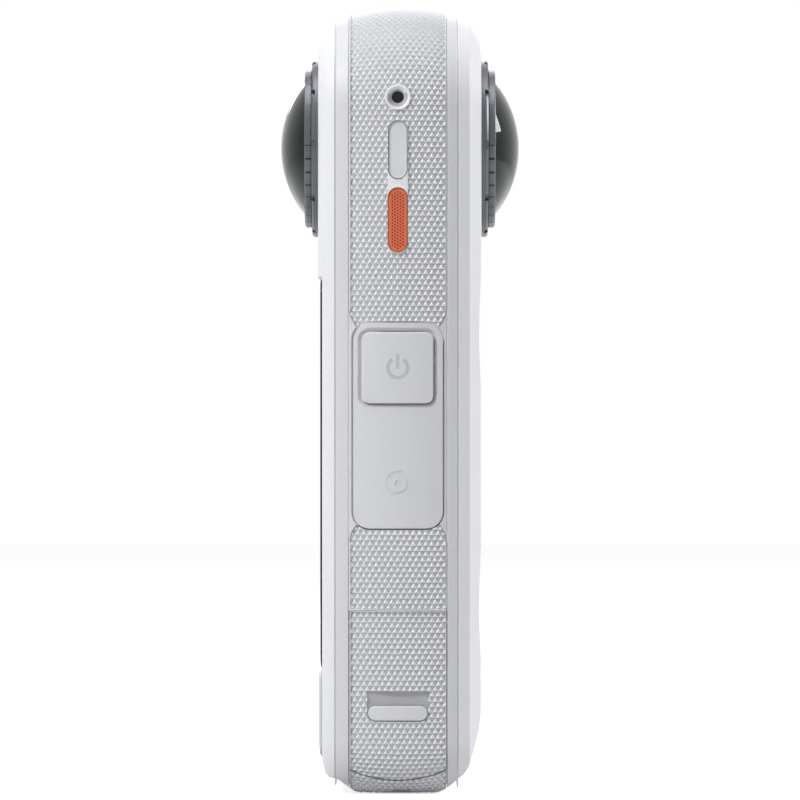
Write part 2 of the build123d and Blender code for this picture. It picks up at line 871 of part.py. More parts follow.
# Touchscreen stack
glass_centre = (glass_top + glass_bottom) / 2
glass_height = glass_top - glass_bottom
display_back = glass_front - glass_thickness - grip_gap / 2 - display_thickness
with BuildPart() as touchscreen_glass:
    with BuildSketch(plane_at(-glass_front + glass_thickness)):
        with Locations((0, glass_centre)):
            RectangleRounded(glass_width, glass_height, glass_radius)
    extrude(amount=glass_thickness)
    fillet(touchscreen_glass.edges().group_by(Axis.Y)[0], radius=glass_thickness / 3)
export(touchscreen_glass, "touchscreen_glass")

with BuildPart() as display_panel:
    with BuildSketch(plane_at(-display_back)):
        with Locations((0, glass_centre)):
            RectangleRounded(
                glass_width - 2 * window_margin - key_gap,
                glass_height - 2 * window_margin - key_gap,
                glass_radius,
            )
    extrude(amount=display_thickness)
export(display_panel, "display_panel")

with BuildPart() as display_tray:
    with BuildSketch(plane_at(-display_back + tray_thickness)):
        with Locations((0, glass_centre)):
            RectangleRounded(
                glass_width - 2 * window_margin, glass_height - 2 * window_margin, glass_radius
            )
            RectangleRounded(
                glass_width - 2 * window_margin - 2 * tray_rim,
                glass_height - 2 * window_margin - 2 * tray_rim,
                glass_radius,
                mode=Mode.SUBTRACT,
            )
    extrude(amount=tray_thickness)
export(display_tray, "display_tray")

with BuildPart() as heat_spreader:
    with BuildSketch(plane_at(chassis_front)):
        with Locations((0, (chassis_top + chassis_bottom) / 2)):
            RectangleRounded(
                chassis_right - chassis_left - 2 * tray_rim, pack_top - pack_bottom, glass_radius
            )
    extrude(amount=spreader_thickness)
export(heat_spreader, "heat_spreader")

# The two keys below the touchscreen
key_switch_height = key_back - key_foot_thickness - key_boss_length - switch_gap - key_board_front
for name, direction in (("shutter_button", -1), ("lens_switch_button", 1)):
    key_x = direction * (key_right + key_gap) / 2
    key_z = (key_top + key_bottom) / 2
    with BuildPart() as front_key:
        with BuildSketch(plane_at(-key_back)):
            with Locations((key_x, key_z)):
                RectangleRounded(key_right - 2 * key_gap, key_top - key_bottom - key_gap, key_radius)
        extrude(amount=key_front - key_back)
        fillet(front_key.edges().group_by(Axis.Y)[0], radius=key_gap)
        add(body_form.part, mode=Mode.INTERSECT)
        with BuildSketch(plane_at(-key_front + icon_depth)):
            with Locations((key_x, key_z)):
                if direction < 0:
                    Circle(record_dot_radius)
                else:
                    Circle(lens_icon_radius)
                    Circle(lens_icon_radius / 2, mode=Mode.SUBTRACT)
        extrude(amount=icon_depth, mode=Mode.SUBTRACT)
        with BuildSketch(plane_at(-key_back + key_boss_length + key_foot_thickness)):
            with Locations((key_x, key_z)):
                Circle(stem_radius)
        extrude(amount=key_boss_length + key_foot_thickness)
        with BuildSketch(plane_at(-key_back + key_foot_thickness)):
            with Locations((key_x, key_z)):
                RectangleRounded(
                    key_right - 2 * key_gap - key_radius, key_top - key_bottom - key_radius, key_radius
                )
        extrude(amount=key_foot_thickness)
    export(front_key, name)

with BuildPart() as front_key_board:
    with BuildSketch(plane_at(-key_board_front + board_thickness)):
        with Locations((0, frame_wall + seam_gap + key_board_height / 2)):
            RectangleRounded(key_board_width, key_board_height, key_radius)
    extrude(amount=board_thickness)
export(front_key_board, "front_key_board")

with BuildPart() as front_key_switches:
    with BuildSketch(plane_at(-key_board_front)):
        with Locations(
            (-(key_right + key_gap) / 2, (key_top + key_bottom) / 2),
            ((key_right + key_gap) / 2, (key_top + key_bottom) / 2),
        ):
            RectangleRounded(switch_size, switch_size, switch_size / 8)
    extrude(amount=key_switch_height)
export(front_key_switches, "front_key_switches")

# Port cover with its seal, latch, hinge housing and pin
latch_floor = side - latch_recess - arch(latch_length / 2)
with BuildPart() as usb_door:
    with BuildSketch(plane_at(grip_back - door_gap)):
        draw_outline(-overrun)
        draw_outline(door_thickness, mode=Mode.SUBTRACT)
    extrude(amount=grip_width - 2 * door_gap)
    add(door_region(0), mode=Mode.INTERSECT)
    add(hinge_nose(0))
    box_between(
        (door_axis_x - 2 * door_nose_radius, -front_depth, door_axis_z - 2 * door_nose_radius),
        (side - door_thickness, back_depth, door_axis_z + 2 * door_nose_radius),
        Mode.SUBTRACT,
    )
    for end, direction in ((-grip_front + door_gap, 1), (grip_back - door_gap, -1)):
        ear_from = end + direction * door_ear_inset
        ear_to = ear_from + direction * door_ear_width
        cylinder_along_y(
            door_axis_x, door_axis_z, door_ear_radius, min(ear_from, ear_to), max(ear_from, ear_to)
        )
    cylinder_along_y(
        door_axis_x, door_axis_z, door_pin_radius + door_pin_fit, -front_depth, back_depth, Mode.SUBTRACT
    )
    # the long recess of the latch, with its guide slot to the inside
    with BuildSketch(Plane.YZ.offset(latch_floor)):
        draw_latch_recess(latch_centre)
    extrude(amount=frame_wall, mode=Mode.SUBTRACT)
    # the slot lies under the latch, so that it shows only while the latch is up
    with BuildSketch(Plane.YZ.offset(inner_side)):
        with Locations((strip_centre, latch_centre - latch_tongue_drop + latch_travel / 2)):
            Rectangle(
                latch_tongue_width + 2 * latch_gap, latch_slot_width + latch_travel + latch_gap
            )
    extrude(amount=frame_wall, mode=Mode.SUBTRACT)
    add(body_form.part, mode=Mode.INTERSECT)
export(usb_door, "usb_door")

with BuildPart() as usb_latch:
    with BuildSketch(Plane.YZ.offset(latch_floor + latch_gap / 2)):
        with Locations((strip_centre, latch_centre)):
            SlotOverall(latch_length, latch_width)
    extrude(amount=frame_wall)
    add(body_form.part, mode=Mode.INTERSECT)
    fillet(usb_latch.faces().sort_by(Axis.X)[-1].edges(), radius=key_edge)
    with BuildSketch(Plane.YZ.offset(side - door_thickness)):
        with Locations((strip_centre, latch_centre - latch_tongue_drop)):
            Rectangle(latch_tongue_width, latch_slot_width)
    extrude(amount=latch_floor + latch_gap - side + door_thickness)
export(usb_latch, "usb_latch")

with BuildPart() as usb_seal:
    with BuildSketch(Plane.YZ.offset(side - door_thickness - seal_height)):
        with Locations(((bay_back - bay_front) / 2, (bay_top + bay_bottom) / 2)):
            RectangleRounded(
                bay_back + bay_front - 2 * door_gap, bay_top - bay_bottom - 2 * door_gap, seal_width * 2
            )
            RectangleRounded(
                bay_back + bay_front - 2 * door_gap - 2 * seal_width,
                bay_top - bay_bottom - 2 * door_gap - 2 * seal_width,
                seal_width,
                mode=Mode.SUBTRACT,
            )
    extrude(amount=seal_height)
export(usb_seal, "usb_seal")

with BuildPart() as usb_hinge_housing:
    box_between(
        (inner_side - hinge_housing_depth, -grip_front, hinge_floor - hinge_housing_margin),
        (inner_side, grip_back, door_axis_z + door_nose_radius + hinge_housing_margin),
    )
    add(hinge_space.part, mode=Mode.SUBTRACT)
export(usb_hinge_housing, "usb_hinge_housing")

with BuildPart() as usb_hinge_pin:
    cylinder_along_y(
        door_axis_x, door_axis_z, door_pin_radius, -grip_front - door_pin_reach, grip_back + door_pin_reach
    )
export(usb_hinge_pin, "usb_hinge_pin")

# Charging bay and its receptacle
bay_left = inner_side - bay_depth
with BuildPart() as usb_bay:
    box_between(
        (bay_left - bay_wall, -bay_front - bay_wall, bay_bottom - bay_wall),
        (inner_side, bay_back + bay_wall, bay_top + bay_wall),
    )
    box_between(
        (bay_left, -bay_front, bay_bottom), (side, bay_back, bay_top), Mode.SUBTRACT
    )
    box_between(
        (
            bay_left - 2 * bay_wall,
            strip_centre - usb_width / 2 - socket_gap,
            (bay_top + bay_bottom - usb_length) / 2 - socket_gap,
        ),
        (
            side,
            strip_centre + usb_width / 2 + socket_gap,
            (bay_top + bay_bottom + usb_length) / 2 + socket_gap,
        ),
        Mode.SUBTRACT,
    )
export(usb_bay, "usb_bay")

with BuildPart() as usb_receptacle:
    with BuildSketch(Plane.YZ.offset(bay_left - usb_depth)):
        draw_slot(strip_centre, (bay_top + bay_bottom) / 2, usb_length, usb_width)
    extrude(amount=usb_depth)
    with BuildSketch(Plane.YZ.offset(bay_left - usb_depth + usb_wall)):
        draw_slot(
            strip_centre, (bay_top + bay_bottom) / 2, usb_length - 2 * usb_wall, usb_width - 2 * usb_wall
        )
    extrude(amount=usb_depth, mode=Mode.SUBTRACT)
    with BuildSketch(Plane.YZ.offset(bay_left - usb_depth)):
        with Locations((strip_centre, (bay_top + bay_bottom) / 2)):
            Rectangle(usb_tongue, usb_length - usb_width)
    extrude(amount=usb_tongue_length)
export(usb_receptacle, "usb_receptacle")

with BuildPart() as usb_board:
    with BuildSketch(Plane.YZ.offset(bay_left - usb_depth - board_thickness)):
        with Locations((strip_centre, (bay_top + bay_bottom) / 2)):
            Rectangle(usb_board_width, usb_board_height)
    extrude(amount=board_thickness)
export(usb_board, "usb_board")

# Battery, its cover and its latch
with BuildPart() as battery_cover:
    with BuildSketch(plane_at(grip_back - cover_gap)):
        draw_outline(-overrun)
        draw_outline(grip_depth, mode=Mode.SUBTRACT)
    extrude(amount=grip_width - 2 * cover_gap)
    box_between(
        (-side - overrun, -front_depth, cover_bottom + cover_gap),
        (0, back_depth, cover_top - cover_gap),
        Mode.INTERSECT,
    )
    with BuildSketch(Plane.YZ.offset(-side - overrun)):
        draw_latch_recess(battery_latch_centre)
    extrude(amount=overrun + side - latch_floor, mode=Mode.SUBTRACT)
    add(body_form.part, mode=Mode.INTERSECT)
export(battery_cover, "battery_cover")

with BuildPart() as battery_latch:
    with BuildSketch(Plane.YZ.offset(-side - overrun)):
        with Locations((strip_centre, battery_latch_centre)):
            SlotOverall(latch_length, latch_width)
    extrude(amount=overrun + side - latch_floor - latch_gap / 2)
    add(body_form.part, mode=Mode.INTERSECT)
    fillet(battery_latch.faces().sort_by(Axis.X)[0].edges(), radius=key_edge)
export(battery_latch, "battery_latch")

with BuildPart() as battery_pack:
    box_between((-side + grip_depth, -pack_front, pack_bottom), (pack_right, pack_back, pack_top))
    fillet(battery_pack.edges().filter_by(Axis.X), radius=pack_radius)
    for index in range(terminal_pads):
        pad_z = (pack_top + pack_bottom) / 2 + (index - (terminal_pads - 1) / 2) * terminal_pad_pitch
        box_between(
            (
                pack_right - terminal_pad_depth,
                grip_centre - terminal_width / 2,
                pad_z - terminal_pad_size / 2,
            ),
            (side, grip_centre + terminal_width / 2, pad_z + terminal_pad_size / 2),
            Mode.SUBTRACT,
        )
export(battery_pack, "battery_pack")

with BuildPart() as battery_seal:
    with BuildSketch(Plane.YZ.offset(-side + grip_depth)):
        with Locations(((pack_back - pack_front) / 2, (pack_top + pack_bottom) / 2)):
            RectangleRounded(
                pack_back + pack_front + pack_gap,
                pack_top - pack_bottom + pack_gap,
                pack_radius + pack_gap / 2,
            )
            RectangleRounded(
                pack_back + pack_front, pack_top - pack_bottom, pack_radius, mode=Mode.SUBTRACT
            )
    extrude(amount=seal_height)
export(battery_seal, "battery_seal")

# Chassis round the battery bay, with the contacts at its end
with BuildPart() as chassis:
    box_between(
        (chassis_left, chassis_front, chassis_bottom), (chassis_right, chassis_back, chassis_top)
    )
    box_between(
        (-side, pack_wall_front, pack_floor),
        (pack_right + pack_gap, pack_wall_back, pack_ceiling),
        Mode.SUBTRACT,
    )
    with BuildSketch(plane_at(main_board_front)):
        with GridLocations(2 * standoff_across, standoff_high - standoff_low, 2, 2):
            with Locations((0, (standoff_high + standoff_low) / 2)):
                Circle(standoff_radius)
    extrude(amount=main_board_front - chassis_back)
    box_between(
        (
            pack_right,
            grip_centre - terminal_width / 2 - socket_gap,
            (pack_top + pack_bottom - terminal_height) / 2 - socket_gap,
        ),
        (
            chassis_right + overrun,
            grip_centre + terminal_width / 2 + socket_gap,
            (pack_top + pack_bottom + terminal_height) / 2 + socket_gap,
        ),
        Mode.SUBTRACT,
    )
export(chassis, "chassis")

with BuildPart() as battery_contacts:
    box_between(
        (
            pack_right + pack_gap / 2,
            grip_centre - terminal_width / 2,
            (pack_top + pack_bottom - terminal_height) / 2,
        ),
        (
            pack_right + pack_gap / 2 + contact_depth,
            grip_centre + terminal_width / 2,
            (pack_top + pack_bottom + terminal_height) / 2,
        ),
    )
export(battery_contacts, "battery_contacts")

with BuildPart() as card_socket:
    box_between(
        (chassis_left, grip_centre - card_width / 2 - socket_gap - socket_wall, chassis_top),
        (
            chassis_left + socket_length,
            grip_centre + card_width / 2 + socket_gap + socket_wall,
            card_bottom + card_thickness + socket_gap + socket_wall,
        ),
    )
    box_between(
        (-side, grip_centre - card_width / 2 - socket_gap, card_bottom - socket_gap),
        (
            chassis_left + socket_length + overrun,
            grip_centre + card_width / 2 + socket_gap,
            card_bottom + card_thickness + socket_gap,
        ),
        Mode.SUBTRACT,
    )
export(card_socket, "card_socket")

with BuildPart() as memory_card:
    box_between(
        (chassis_left - card_proud, grip_centre - card_width / 2, card_bottom),
        (
            chassis_left - card_proud + card_length,
            grip_centre + card_width / 2,
            card_bottom + card_thickness,
        ),
    )
    fillet(memory_card.edges().filter_by(Axis.Z), radius=card_proud)
export(memory_card, "memory_card")

# Main board, its shields and the pad that warms the rear shell
with BuildPart() as main_board:
    with BuildSketch(plane_at(main_board_front + main_board_thickness)):
        draw_outline(main_board_inset)
        with Locations((0, main_board_top + height / 2), (0, main_board_bottom - height / 2)):
            Rectangle(far, height, mode=Mode.SUBTRACT)
        with Locations((0, (standoff_high + standoff_low) / 2)):
            with GridLocations(2 * standoff_across, standoff_high - standoff_low, 2, 2):
                Circle(screw_radius + grip_gap, mode=Mode.SUBTRACT)
    extrude(amount=main_board_thickness)
export(main_board, "main_board")

with BuildPart() as board_shields:
    with BuildSketch(plane_at(main_board_front)):
        with Locations((0, (standoff_high + standoff_low) / 2)):
            with GridLocations(0, shield_length + shield_gap, 1, 2):
                RectangleRounded(shield_width - 2 * standoff_radius, shield_length, pack_radius)
    extrude(amount=shield_height)
export(board_shields, "board_shields")

with BuildPart() as thermal_pad:
    with BuildSketch(plane_at(back_depth - shell_wall - pad_gap)):
        with Locations((0, (standoff_high + standoff_low) / 2)):
            Rectangle(shield_width - 2 * standoff_radius, shield_length * 2)
    extrude(amount=back_depth - shell_wall - pad_gap - main_board_front - main_board_thickness)
export(thermal_pad, "thermal_pad")

with BuildPart() as main_board_screws:
    screw_top = main_board_front + main_board_thickness + screw_head_height
    with BuildSketch(plane_at(screw_top)):
        with Locations((0, (standoff_high + standoff_low) / 2)):
            with GridLocations(2 * standoff_across, standoff_high - standoff_low, 2, 2):
                Circle(screw_head_radius)
    extrude(amount=screw_head_height)
    with BuildSketch(plane_at(screw_top)):
        with Locations((0, (standoff_high + standoff_low) / 2)):
            with GridLocations(2 * standoff_across, standoff_high - standoff_low, 2, 2):
                Circle(screw_radius)
    extrude(amount=screw_head_height + main_board_thickness)
export(main_board_screws, "main_board_screws")

# Lens carrier across the top of the frame
microphone_notch = microphone_seat + microphone_height + pad_gap
with BuildPart() as lens_carrier:
    with BuildSketch(plane_at(carrier_half)):
        draw_outline(frame_wall + carrier_gap)
        with Locations((0, carrier_bottom - height / 2)):
            Rectangle(far, height, mode=Mode.SUBTRACT)
        with Locations((0, lens_height)):
            Rectangle(carrier_window, carrier_window, mode=Mode.SUBTRACT)
        # room for the microphones behind the right wall
        with Locations((inner_side - microphone_notch / 2, (port_centre + carrier_bottom) / 2)):
            Rectangle(
                microphone_notch, port_centre - carrier_bottom + 2 * microphone_radius + 2 * pad_gap,
                mode=Mode.SUBTRACT,
            )
    extrude(amount=2 * carrier_half)
export(lens_carrier, "lens_carrier")

lens_axis = Axis((0, 0, lens_height), (0, 1, 0))


def revolved(points, direction):
    """Turns a profile, given as distances out from the middle plane and radii, about the lens axis."""
    with BuildSketch(Plane.YZ) as profile:
        with BuildLine():
            Polyline(*[(direction * out, lens_height + radius) for out, radius in points], close=True)
        make_face()
    revolve(profile.sketch, axis=lens_axis)


def cap(radius, apex, base, direction):
    """A ball segment between its apex and a flat base."""
    with BuildSketch(Plane.YZ) as profile:
        with BuildLine():
            edge = sqrt(radius**2 - (base - apex + radius) ** 2)
            middle = apex - radius + radius * sqrt(0.75) if edge > radius / 2 else (apex + base) / 2
            middle_edge = sqrt(radius**2 - (middle - apex + radius) ** 2)
            curve = ThreePointArc(
                (direction * apex, lens_height),
                (direction * middle, lens_height + middle_edge),
                (direction * base, lens_height + edge),
            )
            Polyline(curve @ 1, (direction * base, lens_height), curve @ 0)
        make_face()
    revolve(profile.sketch, axis=lens_axis)


for end, direction in (("front", -1), ("rear", 1)):
    with BuildPart() as base_ring:
        revolved(
            [
                (base_ring_foot, base_ring_bore),
                (base_ring_foot, base_ring_radius),
                (base_ring_top - guard_chamfer, base_ring_radius),
                (base_ring_top, base_ring_radius - guard_chamfer),
                (base_ring_top, base_ring_bore),
            ],
            direction,
        )
        outer = direction * (base_ring_top + overrun)
        notch_plane = plane_at(outer) if direction > 0 else plane_at(-base_ring_top + base_ring_notch_depth)
        with BuildSketch(notch_plane):
            with Locations((0, lens_height)):
                with PolarLocations(base_ring_radius, base_ring_notches):
                    Rectangle(base_ring_notch_width, base_ring_notch_width)
        extrude(amount=overrun + base_ring_notch_depth, mode=Mode.SUBTRACT)
    export(base_ring, f"{end}_lens_ring")

    with BuildPart() as guard_ring:
        revolved(
            [
                (guard_skirt_foot, guard_skirt_radius - guard_skirt_wall),
                (guard_skirt_foot, guard_skirt_radius),
                (base_ring_top + guard_gap, guard_skirt_radius),
                (base_ring_top + guard_gap, guard_radius),
                (guard_top - guard_chamfer, guard_radius),
                (guard_top, guard_radius - guard_chamfer),
                (guard_top, guard_lip_radius),
                (guard_ledge, guard_radius - guard_skirt_wall),
                (guard_ledge, guard_skirt_radius - guard_skirt_wall),
            ],
            direction,
        )
        groove_plane = plane_at(guard_top) if direction > 0 else plane_at(-base_ring_top - guard_gap)
        with BuildSketch(groove_plane):
            with Locations((0, lens_height)):
                with PolarLocations(guard_radius, guard_grooves):
                    RegularPolygon(guard_groove_radius, 4)
        extrude(amount=guard_top - base_ring_top - guard_gap, mode=Mode.SUBTRACT)
    export(guard_ring, f"{end}_guard_ring")

    with BuildPart() as dome_hollow:
        cap(dome_radius - dome_thickness, dome_apex - dome_thickness, guard_ledge - overrun, direction)

    with BuildPart() as guard_dome:
        cap(dome_radius, dome_apex, guard_ledge, direction)
        add(dome_hollow.part, mode=Mode.SUBTRACT)
    export(guard_dome, f"{end}_guard_dome")

    with BuildPart() as objective_blank:
        cap(objective_radius, objective_apex, objective_foot, direction)

    with BuildPart() as objective_hollow:
        cap(objective_hollow_radius, objective_hollow_apex, objective_foot - overrun, direction)

    with BuildPart() as objective:
        revolved(
            [
                (objective_foot, 0),
                (objective_foot, objective_edge_radius),
                (objective_apex + overrun, objective_edge_radius),
                (objective_apex + overrun, 0),
            ],
            direction,
        )
        add(objective_blank.part, mode=Mode.INTERSECT)
        add(objective_hollow.part, mode=Mode.SUBTRACT)
    export(objective, f"{end}_objective")

    with BuildPart() as barrel:
        revolved(
            [
                (barrel_foot, barrel_bore_radius),
                (barrel_foot, barrel_neck_radius),
                (barrel_shoulder, barrel_neck_radius),
                (barrel_shoulder, barrel_radius),
                (objective_foot, barrel_radius),
                (objective_foot, barrel_mouth_radius),
                (barrel_mouth_floor, barrel_bore_radius),
                (barrel_shoulder, barrel_bore_radius),
                (barrel_shoulder, barrel_bore_radius - relay_ledge),
                (barrel_shoulder - relay_ledge, barrel_bore_radius - relay_ledge),
                (barrel_shoulder - relay_ledge, barrel_bore_radius),
            ],
            direction,
        )
        foot_from = sensor_board_inner + sensor_board_thickness
        foot_plane = plane_at(barrel_foot) if direction > 0 else plane_at(-foot_from)
        with BuildSketch(foot_plane):
            with Locations((0, lens_height)):
                RectangleRounded(barrel_base, barrel_base, pack_radius)
                Circle(barrel_bore_radius, mode=Mode.SUBTRACT)
        extrude(amount=barrel_foot - foot_from)
    export(barrel, f"{end}_lens_barrel")

    with BuildPart() as relay_lens:
        cap(relay_curve, barrel_shoulder + relay_thickness, barrel_shoulder, direction)
    export(relay_lens, f"{end}_relay_lens")

    with BuildPart() as sensor_board:
        board_near = sensor_board_inner + sensor_board_thickness
        board_plane = plane_at(board_near) if direction > 0 else plane_at(-sensor_board_inner)
        with BuildSketch(board_plane):
            with Locations((0, lens_height)):
                RectangleRounded(sensor_board_width, sensor_board_height, pack_radius)
        extrude(amount=sensor_board_thickness)
        chip_plane = plane_at(board_near + sensor_height) if direction > 0 else plane_at(-board_near)
        with BuildSketch(chip_plane):
            with Locations((0, lens_height)):
                Circle(sensor_size / 2)
        extrude(amount=sensor_height)
    export(sensor_board, f"{end}_sensor_board")

# Speaker and tripod bush in the base
with BuildPart() as speaker:
    box_between(
        (
            -speaker_offset - speaker_width / 2,
            grip_centre - speaker_length / 2,
            frame_wall + seam_gap,
        ),
        (
            -speaker_offset + speaker_width / 2,
            grip_centre + speaker_length / 2,
            frame_wall + seam_gap + speaker_height,
        ),
    )
    fillet(speaker.edges().filter_by(Axis.Z), radius=pack_radius)
export(speaker, "speaker")

with BuildPart() as tripod_bush:
    with BuildSketch(Plane.XY):
        with Locations((0, grip_centre)):
            Circle(tripod_flange_radius)
    extrude(amount=grip_depth)
    with BuildSketch(Plane.XY):
        with Locations((0, grip_centre)):
            Circle(tripod_body_radius)
    extrude(amount=tripod_length)
    with BuildSketch(Plane.XY):
        with Locations((0, grip_centre)):
            Circle(tripod_bore_radius)
    extrude(amount=tripod_bore_depth, mode=Mode.SUBTRACT)
export(tripod_bush, "tripod_bush")
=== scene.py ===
import bpy
import math
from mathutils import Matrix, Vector
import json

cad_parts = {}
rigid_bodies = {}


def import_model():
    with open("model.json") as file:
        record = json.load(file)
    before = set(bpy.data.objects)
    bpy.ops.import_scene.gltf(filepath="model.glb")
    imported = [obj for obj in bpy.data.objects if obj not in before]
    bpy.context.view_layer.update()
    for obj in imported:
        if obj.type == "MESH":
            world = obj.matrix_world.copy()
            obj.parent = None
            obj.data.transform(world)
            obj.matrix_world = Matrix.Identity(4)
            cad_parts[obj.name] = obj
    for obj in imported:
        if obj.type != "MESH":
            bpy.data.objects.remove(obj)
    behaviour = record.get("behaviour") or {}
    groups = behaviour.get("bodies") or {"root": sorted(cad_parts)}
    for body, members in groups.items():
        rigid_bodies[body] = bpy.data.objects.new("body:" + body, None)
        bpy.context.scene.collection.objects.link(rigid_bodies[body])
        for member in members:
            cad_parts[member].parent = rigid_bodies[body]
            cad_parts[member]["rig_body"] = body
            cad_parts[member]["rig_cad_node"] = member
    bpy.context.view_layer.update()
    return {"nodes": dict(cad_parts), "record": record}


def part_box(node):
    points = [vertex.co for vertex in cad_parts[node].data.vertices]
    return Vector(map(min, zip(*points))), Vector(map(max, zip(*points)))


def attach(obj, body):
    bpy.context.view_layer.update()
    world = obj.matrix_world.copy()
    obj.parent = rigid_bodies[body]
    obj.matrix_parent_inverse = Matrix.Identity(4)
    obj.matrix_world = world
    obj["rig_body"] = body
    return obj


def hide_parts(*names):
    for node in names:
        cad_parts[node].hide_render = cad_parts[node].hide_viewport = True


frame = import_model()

# A pocket 360 degree camera in satin white plastic, seen square on from its right side.
# x points out of the right side, y from the front lens to the rear one, and z up.
# Lengths are written in millimetres and turned to metres with mm.
nodes = frame["nodes"]
mm = 0.001


# Stage: camera, lamps, floor and background

view = {"distance": 900, "height": 62.0, "lens": 252, "sensor": 36, "nearest": 10}

bpy.context.scene.view_settings.view_transform = "Standard"
bpy.ops.object.camera_add(
    location=(view["distance"] * mm, 0, view["height"] * mm), rotation=(math.pi / 2, 0, math.pi / 2)
)
camera = bpy.context.object
camera.data.lens = view["lens"]
camera.data.sensor_width = view["sensor"]
camera.data.clip_start = view["nearest"] * mm
bpy.context.scene.camera = camera

# the key lamp lights the right side and the front shell, the high lamp the top, the rim lamp the rear
# shell and the far lamp the left side
lamps = {
    "keyLamp": {"at": (330, -425, 450), "size": 110, "watts": 2.5},
    "highLamp": {"at": (60, -60, 800), "size": 320, "watts": 2.1},
    "rimLamp": {"at": (-190, 800, 420), "size": 300, "watts": 4.2},
    "farLamp": {"at": (-700, -60, 420), "size": 420, "watts": 2.2},
}
for name, lamp in lamps.items():
    place = Vector(lamp["at"]) * mm
    aim = Vector((0, 0, view["height"] * mm)) - place
    bpy.ops.object.light_add(type="AREA", location=place,
                             rotation=aim.to_track_quat("-Z", "Y").to_euler())
    bpy.context.object.name = name
    bpy.context.object.data.size = lamp["size"] * mm
    bpy.context.object.data.energy = lamp["watts"]


def linear(hexColour):
    # sRGB hex to the linear values that shaders take
    channels = [int(hexColour[i:i + 2], 16) / 255 for i in (1, 3, 5)]
    return [c / 12.92 if c <= 0.04045 else ((c + 0.055) / 1.055) ** 2.4 for c in channels] + [1.0]


def addNode(tree, kind, settings=(), inputs=()):
    # one node with its settings, and its sockets set or linked
    node = tree.nodes.new(kind)
    for name, value in dict(settings).items():
        setattr(node, name, value)
    for name, value in dict(inputs).items():
        if isinstance(value, bpy.types.NodeSocket):
            tree.links.new(value, node.inputs[name])
        else:
            node.inputs[name].default_value = value
    return node


def seenRays(tree):
    # 1 for what the camera sees, also in a mirror or through glass, and 0 for what only gives light
    ray = addNode(tree, "ShaderNodeLightPath")
    seen = addNode(tree, "ShaderNodeMath", {"operation": "MAXIMUM"},
                   {0: ray.outputs["Is Camera Ray"], 1: ray.outputs["Is Glossy Ray"]})
    return addNode(tree, "ShaderNodeMath", {"operation": "MAXIMUM"},
                   {0: seen.outputs[0], 1: ray.outputs["Is Transmission Ray"]}).outputs[0]


# "seen" is the strength of the background where it shows, and "fill" where it only gives light
backdrop = {"colour": "#FFFFFF", "seen": 1.0, "fill": 0.33}

world = bpy.data.worlds.new("studio")
bpy.context.scene.world = world
world.use_nodes = True
world.node_tree.nodes.clear()
strength = addNode(world.node_tree, "ShaderNodeMapRange", {},
                   {"Value": seenRays(world.node_tree), "To Min": backdrop["fill"],
                    "To Max": backdrop["seen"]})
shine = addNode(world.node_tree, "ShaderNodeBackground", {},
                {"Color": linear(backdrop["colour"]), "Strength": strength.outputs[0]})
addNode(world.node_tree, "ShaderNodeOutputWorld", {}, {"Surface": shine.outputs[0]})


def newMaterial(name):
    material = bpy.data.materials.new(name)
    material.use_nodes = True
    material.node_tree.nodes.clear()
    return material, material.node_tree


def finishMaterial(material, shader):
    addNode(material.node_tree, "ShaderNodeOutputMaterial", {}, {"Surface": shader.outputs[0]})
    return material


# The floor: matte white card. It shows as the background and keeps the shadow.
floor = {"size": 3000, "drop": 0.05, "colour": "#D2D2D3", "glowColour": "#F4F4F5", "glow": 0.80}
floorCard, tree = newMaterial("matteCard")
matte = addNode(tree, "ShaderNodeBsdfDiffuse", {}, {"Color": linear(floor["colour"])})
glow = addNode(tree, "ShaderNodeEmission", {},
               {"Color": linear(floor["glowColour"]), "Strength": floor["glow"]})
both = addNode(tree, "ShaderNodeAddShader", {}, {0: matte.outputs[0], 1: glow.outputs[0]})
mixed = addNode(tree, "ShaderNodeMixShader", {},
                {0: seenRays(tree), 1: matte.outputs[0], 2: both.outputs[0]})
finishMaterial(floorCard, mixed)
bpy.ops.mesh.primitive_plane_add(size=floor["size"] * mm, location=(0, 0, -floor["drop"] * mm))
floorPlane = bpy.context.object
floorPlane.name = "floorPlane"
floorPlane.data.materials.append(floorCard)
print("stage set")


# Materials. A Mix node takes its two colours at sockets 6 and 7, and gives the mixed one at output 2.

def mouldedPlastic(name, look):
    # Injection moulded plastic: fine spark-eroded grain, and a faint drift of tone from the tool.
    material, tree = newMaterial(name)
    spot = addNode(tree, "ShaderNodeTexCoord")
    grain = addNode(tree, "ShaderNodeTexNoise", {},
                    {"Vector": spot.outputs["Object"], "Scale": 1 / (look["grain"] * mm), "Detail": 3.0})
    drift = addNode(tree, "ShaderNodeTexNoise", {},
                    {"Vector": spot.outputs["Object"], "Scale": 1 / (look["drift"] * mm), "Detail": 2.0})
    tone = addNode(tree, "ShaderNodeMix", {"data_type": "RGBA"},
                   {"Factor": drift.outputs["Fac"], 6: linear(look["colour"]), 7: linear(look["shade"])})
    colour = tone.outputs[2]
    if "valleyShade" in look:
        # painted shade: the floor of the moulded texture gets a darker colour, standing in for the light
        # that its peaks keep from it
        valleyShade = addNode(tree, "ShaderNodeAttribute", {"attribute_name": "valleyShade"})
        colour = addNode(tree, "ShaderNodeMix", {"data_type": "RGBA"},
                         {"Factor": valleyShade.outputs["Fac"], 6: colour, 7: linear(look["valleyShade"])}).outputs[2]
    sheen = addNode(tree, "ShaderNodeMapRange", {},
                    {"Value": grain.outputs["Fac"], "To Min": look["gloss"][0], "To Max": look["gloss"][1]})
    relief = addNode(tree, "ShaderNodeBump", {},
                     {"Height": grain.outputs["Fac"], "Strength": look["relief"],
                      "Distance": look["depth"] * mm})
    body = addNode(tree, "ShaderNodeBsdfPrincipled", {},
                   {"Base Color": colour, "Roughness": sheen.outputs[0],
                    "Normal": relief.outputs[0], "IOR": look["ior"]})
    return finishMaterial(material, body)


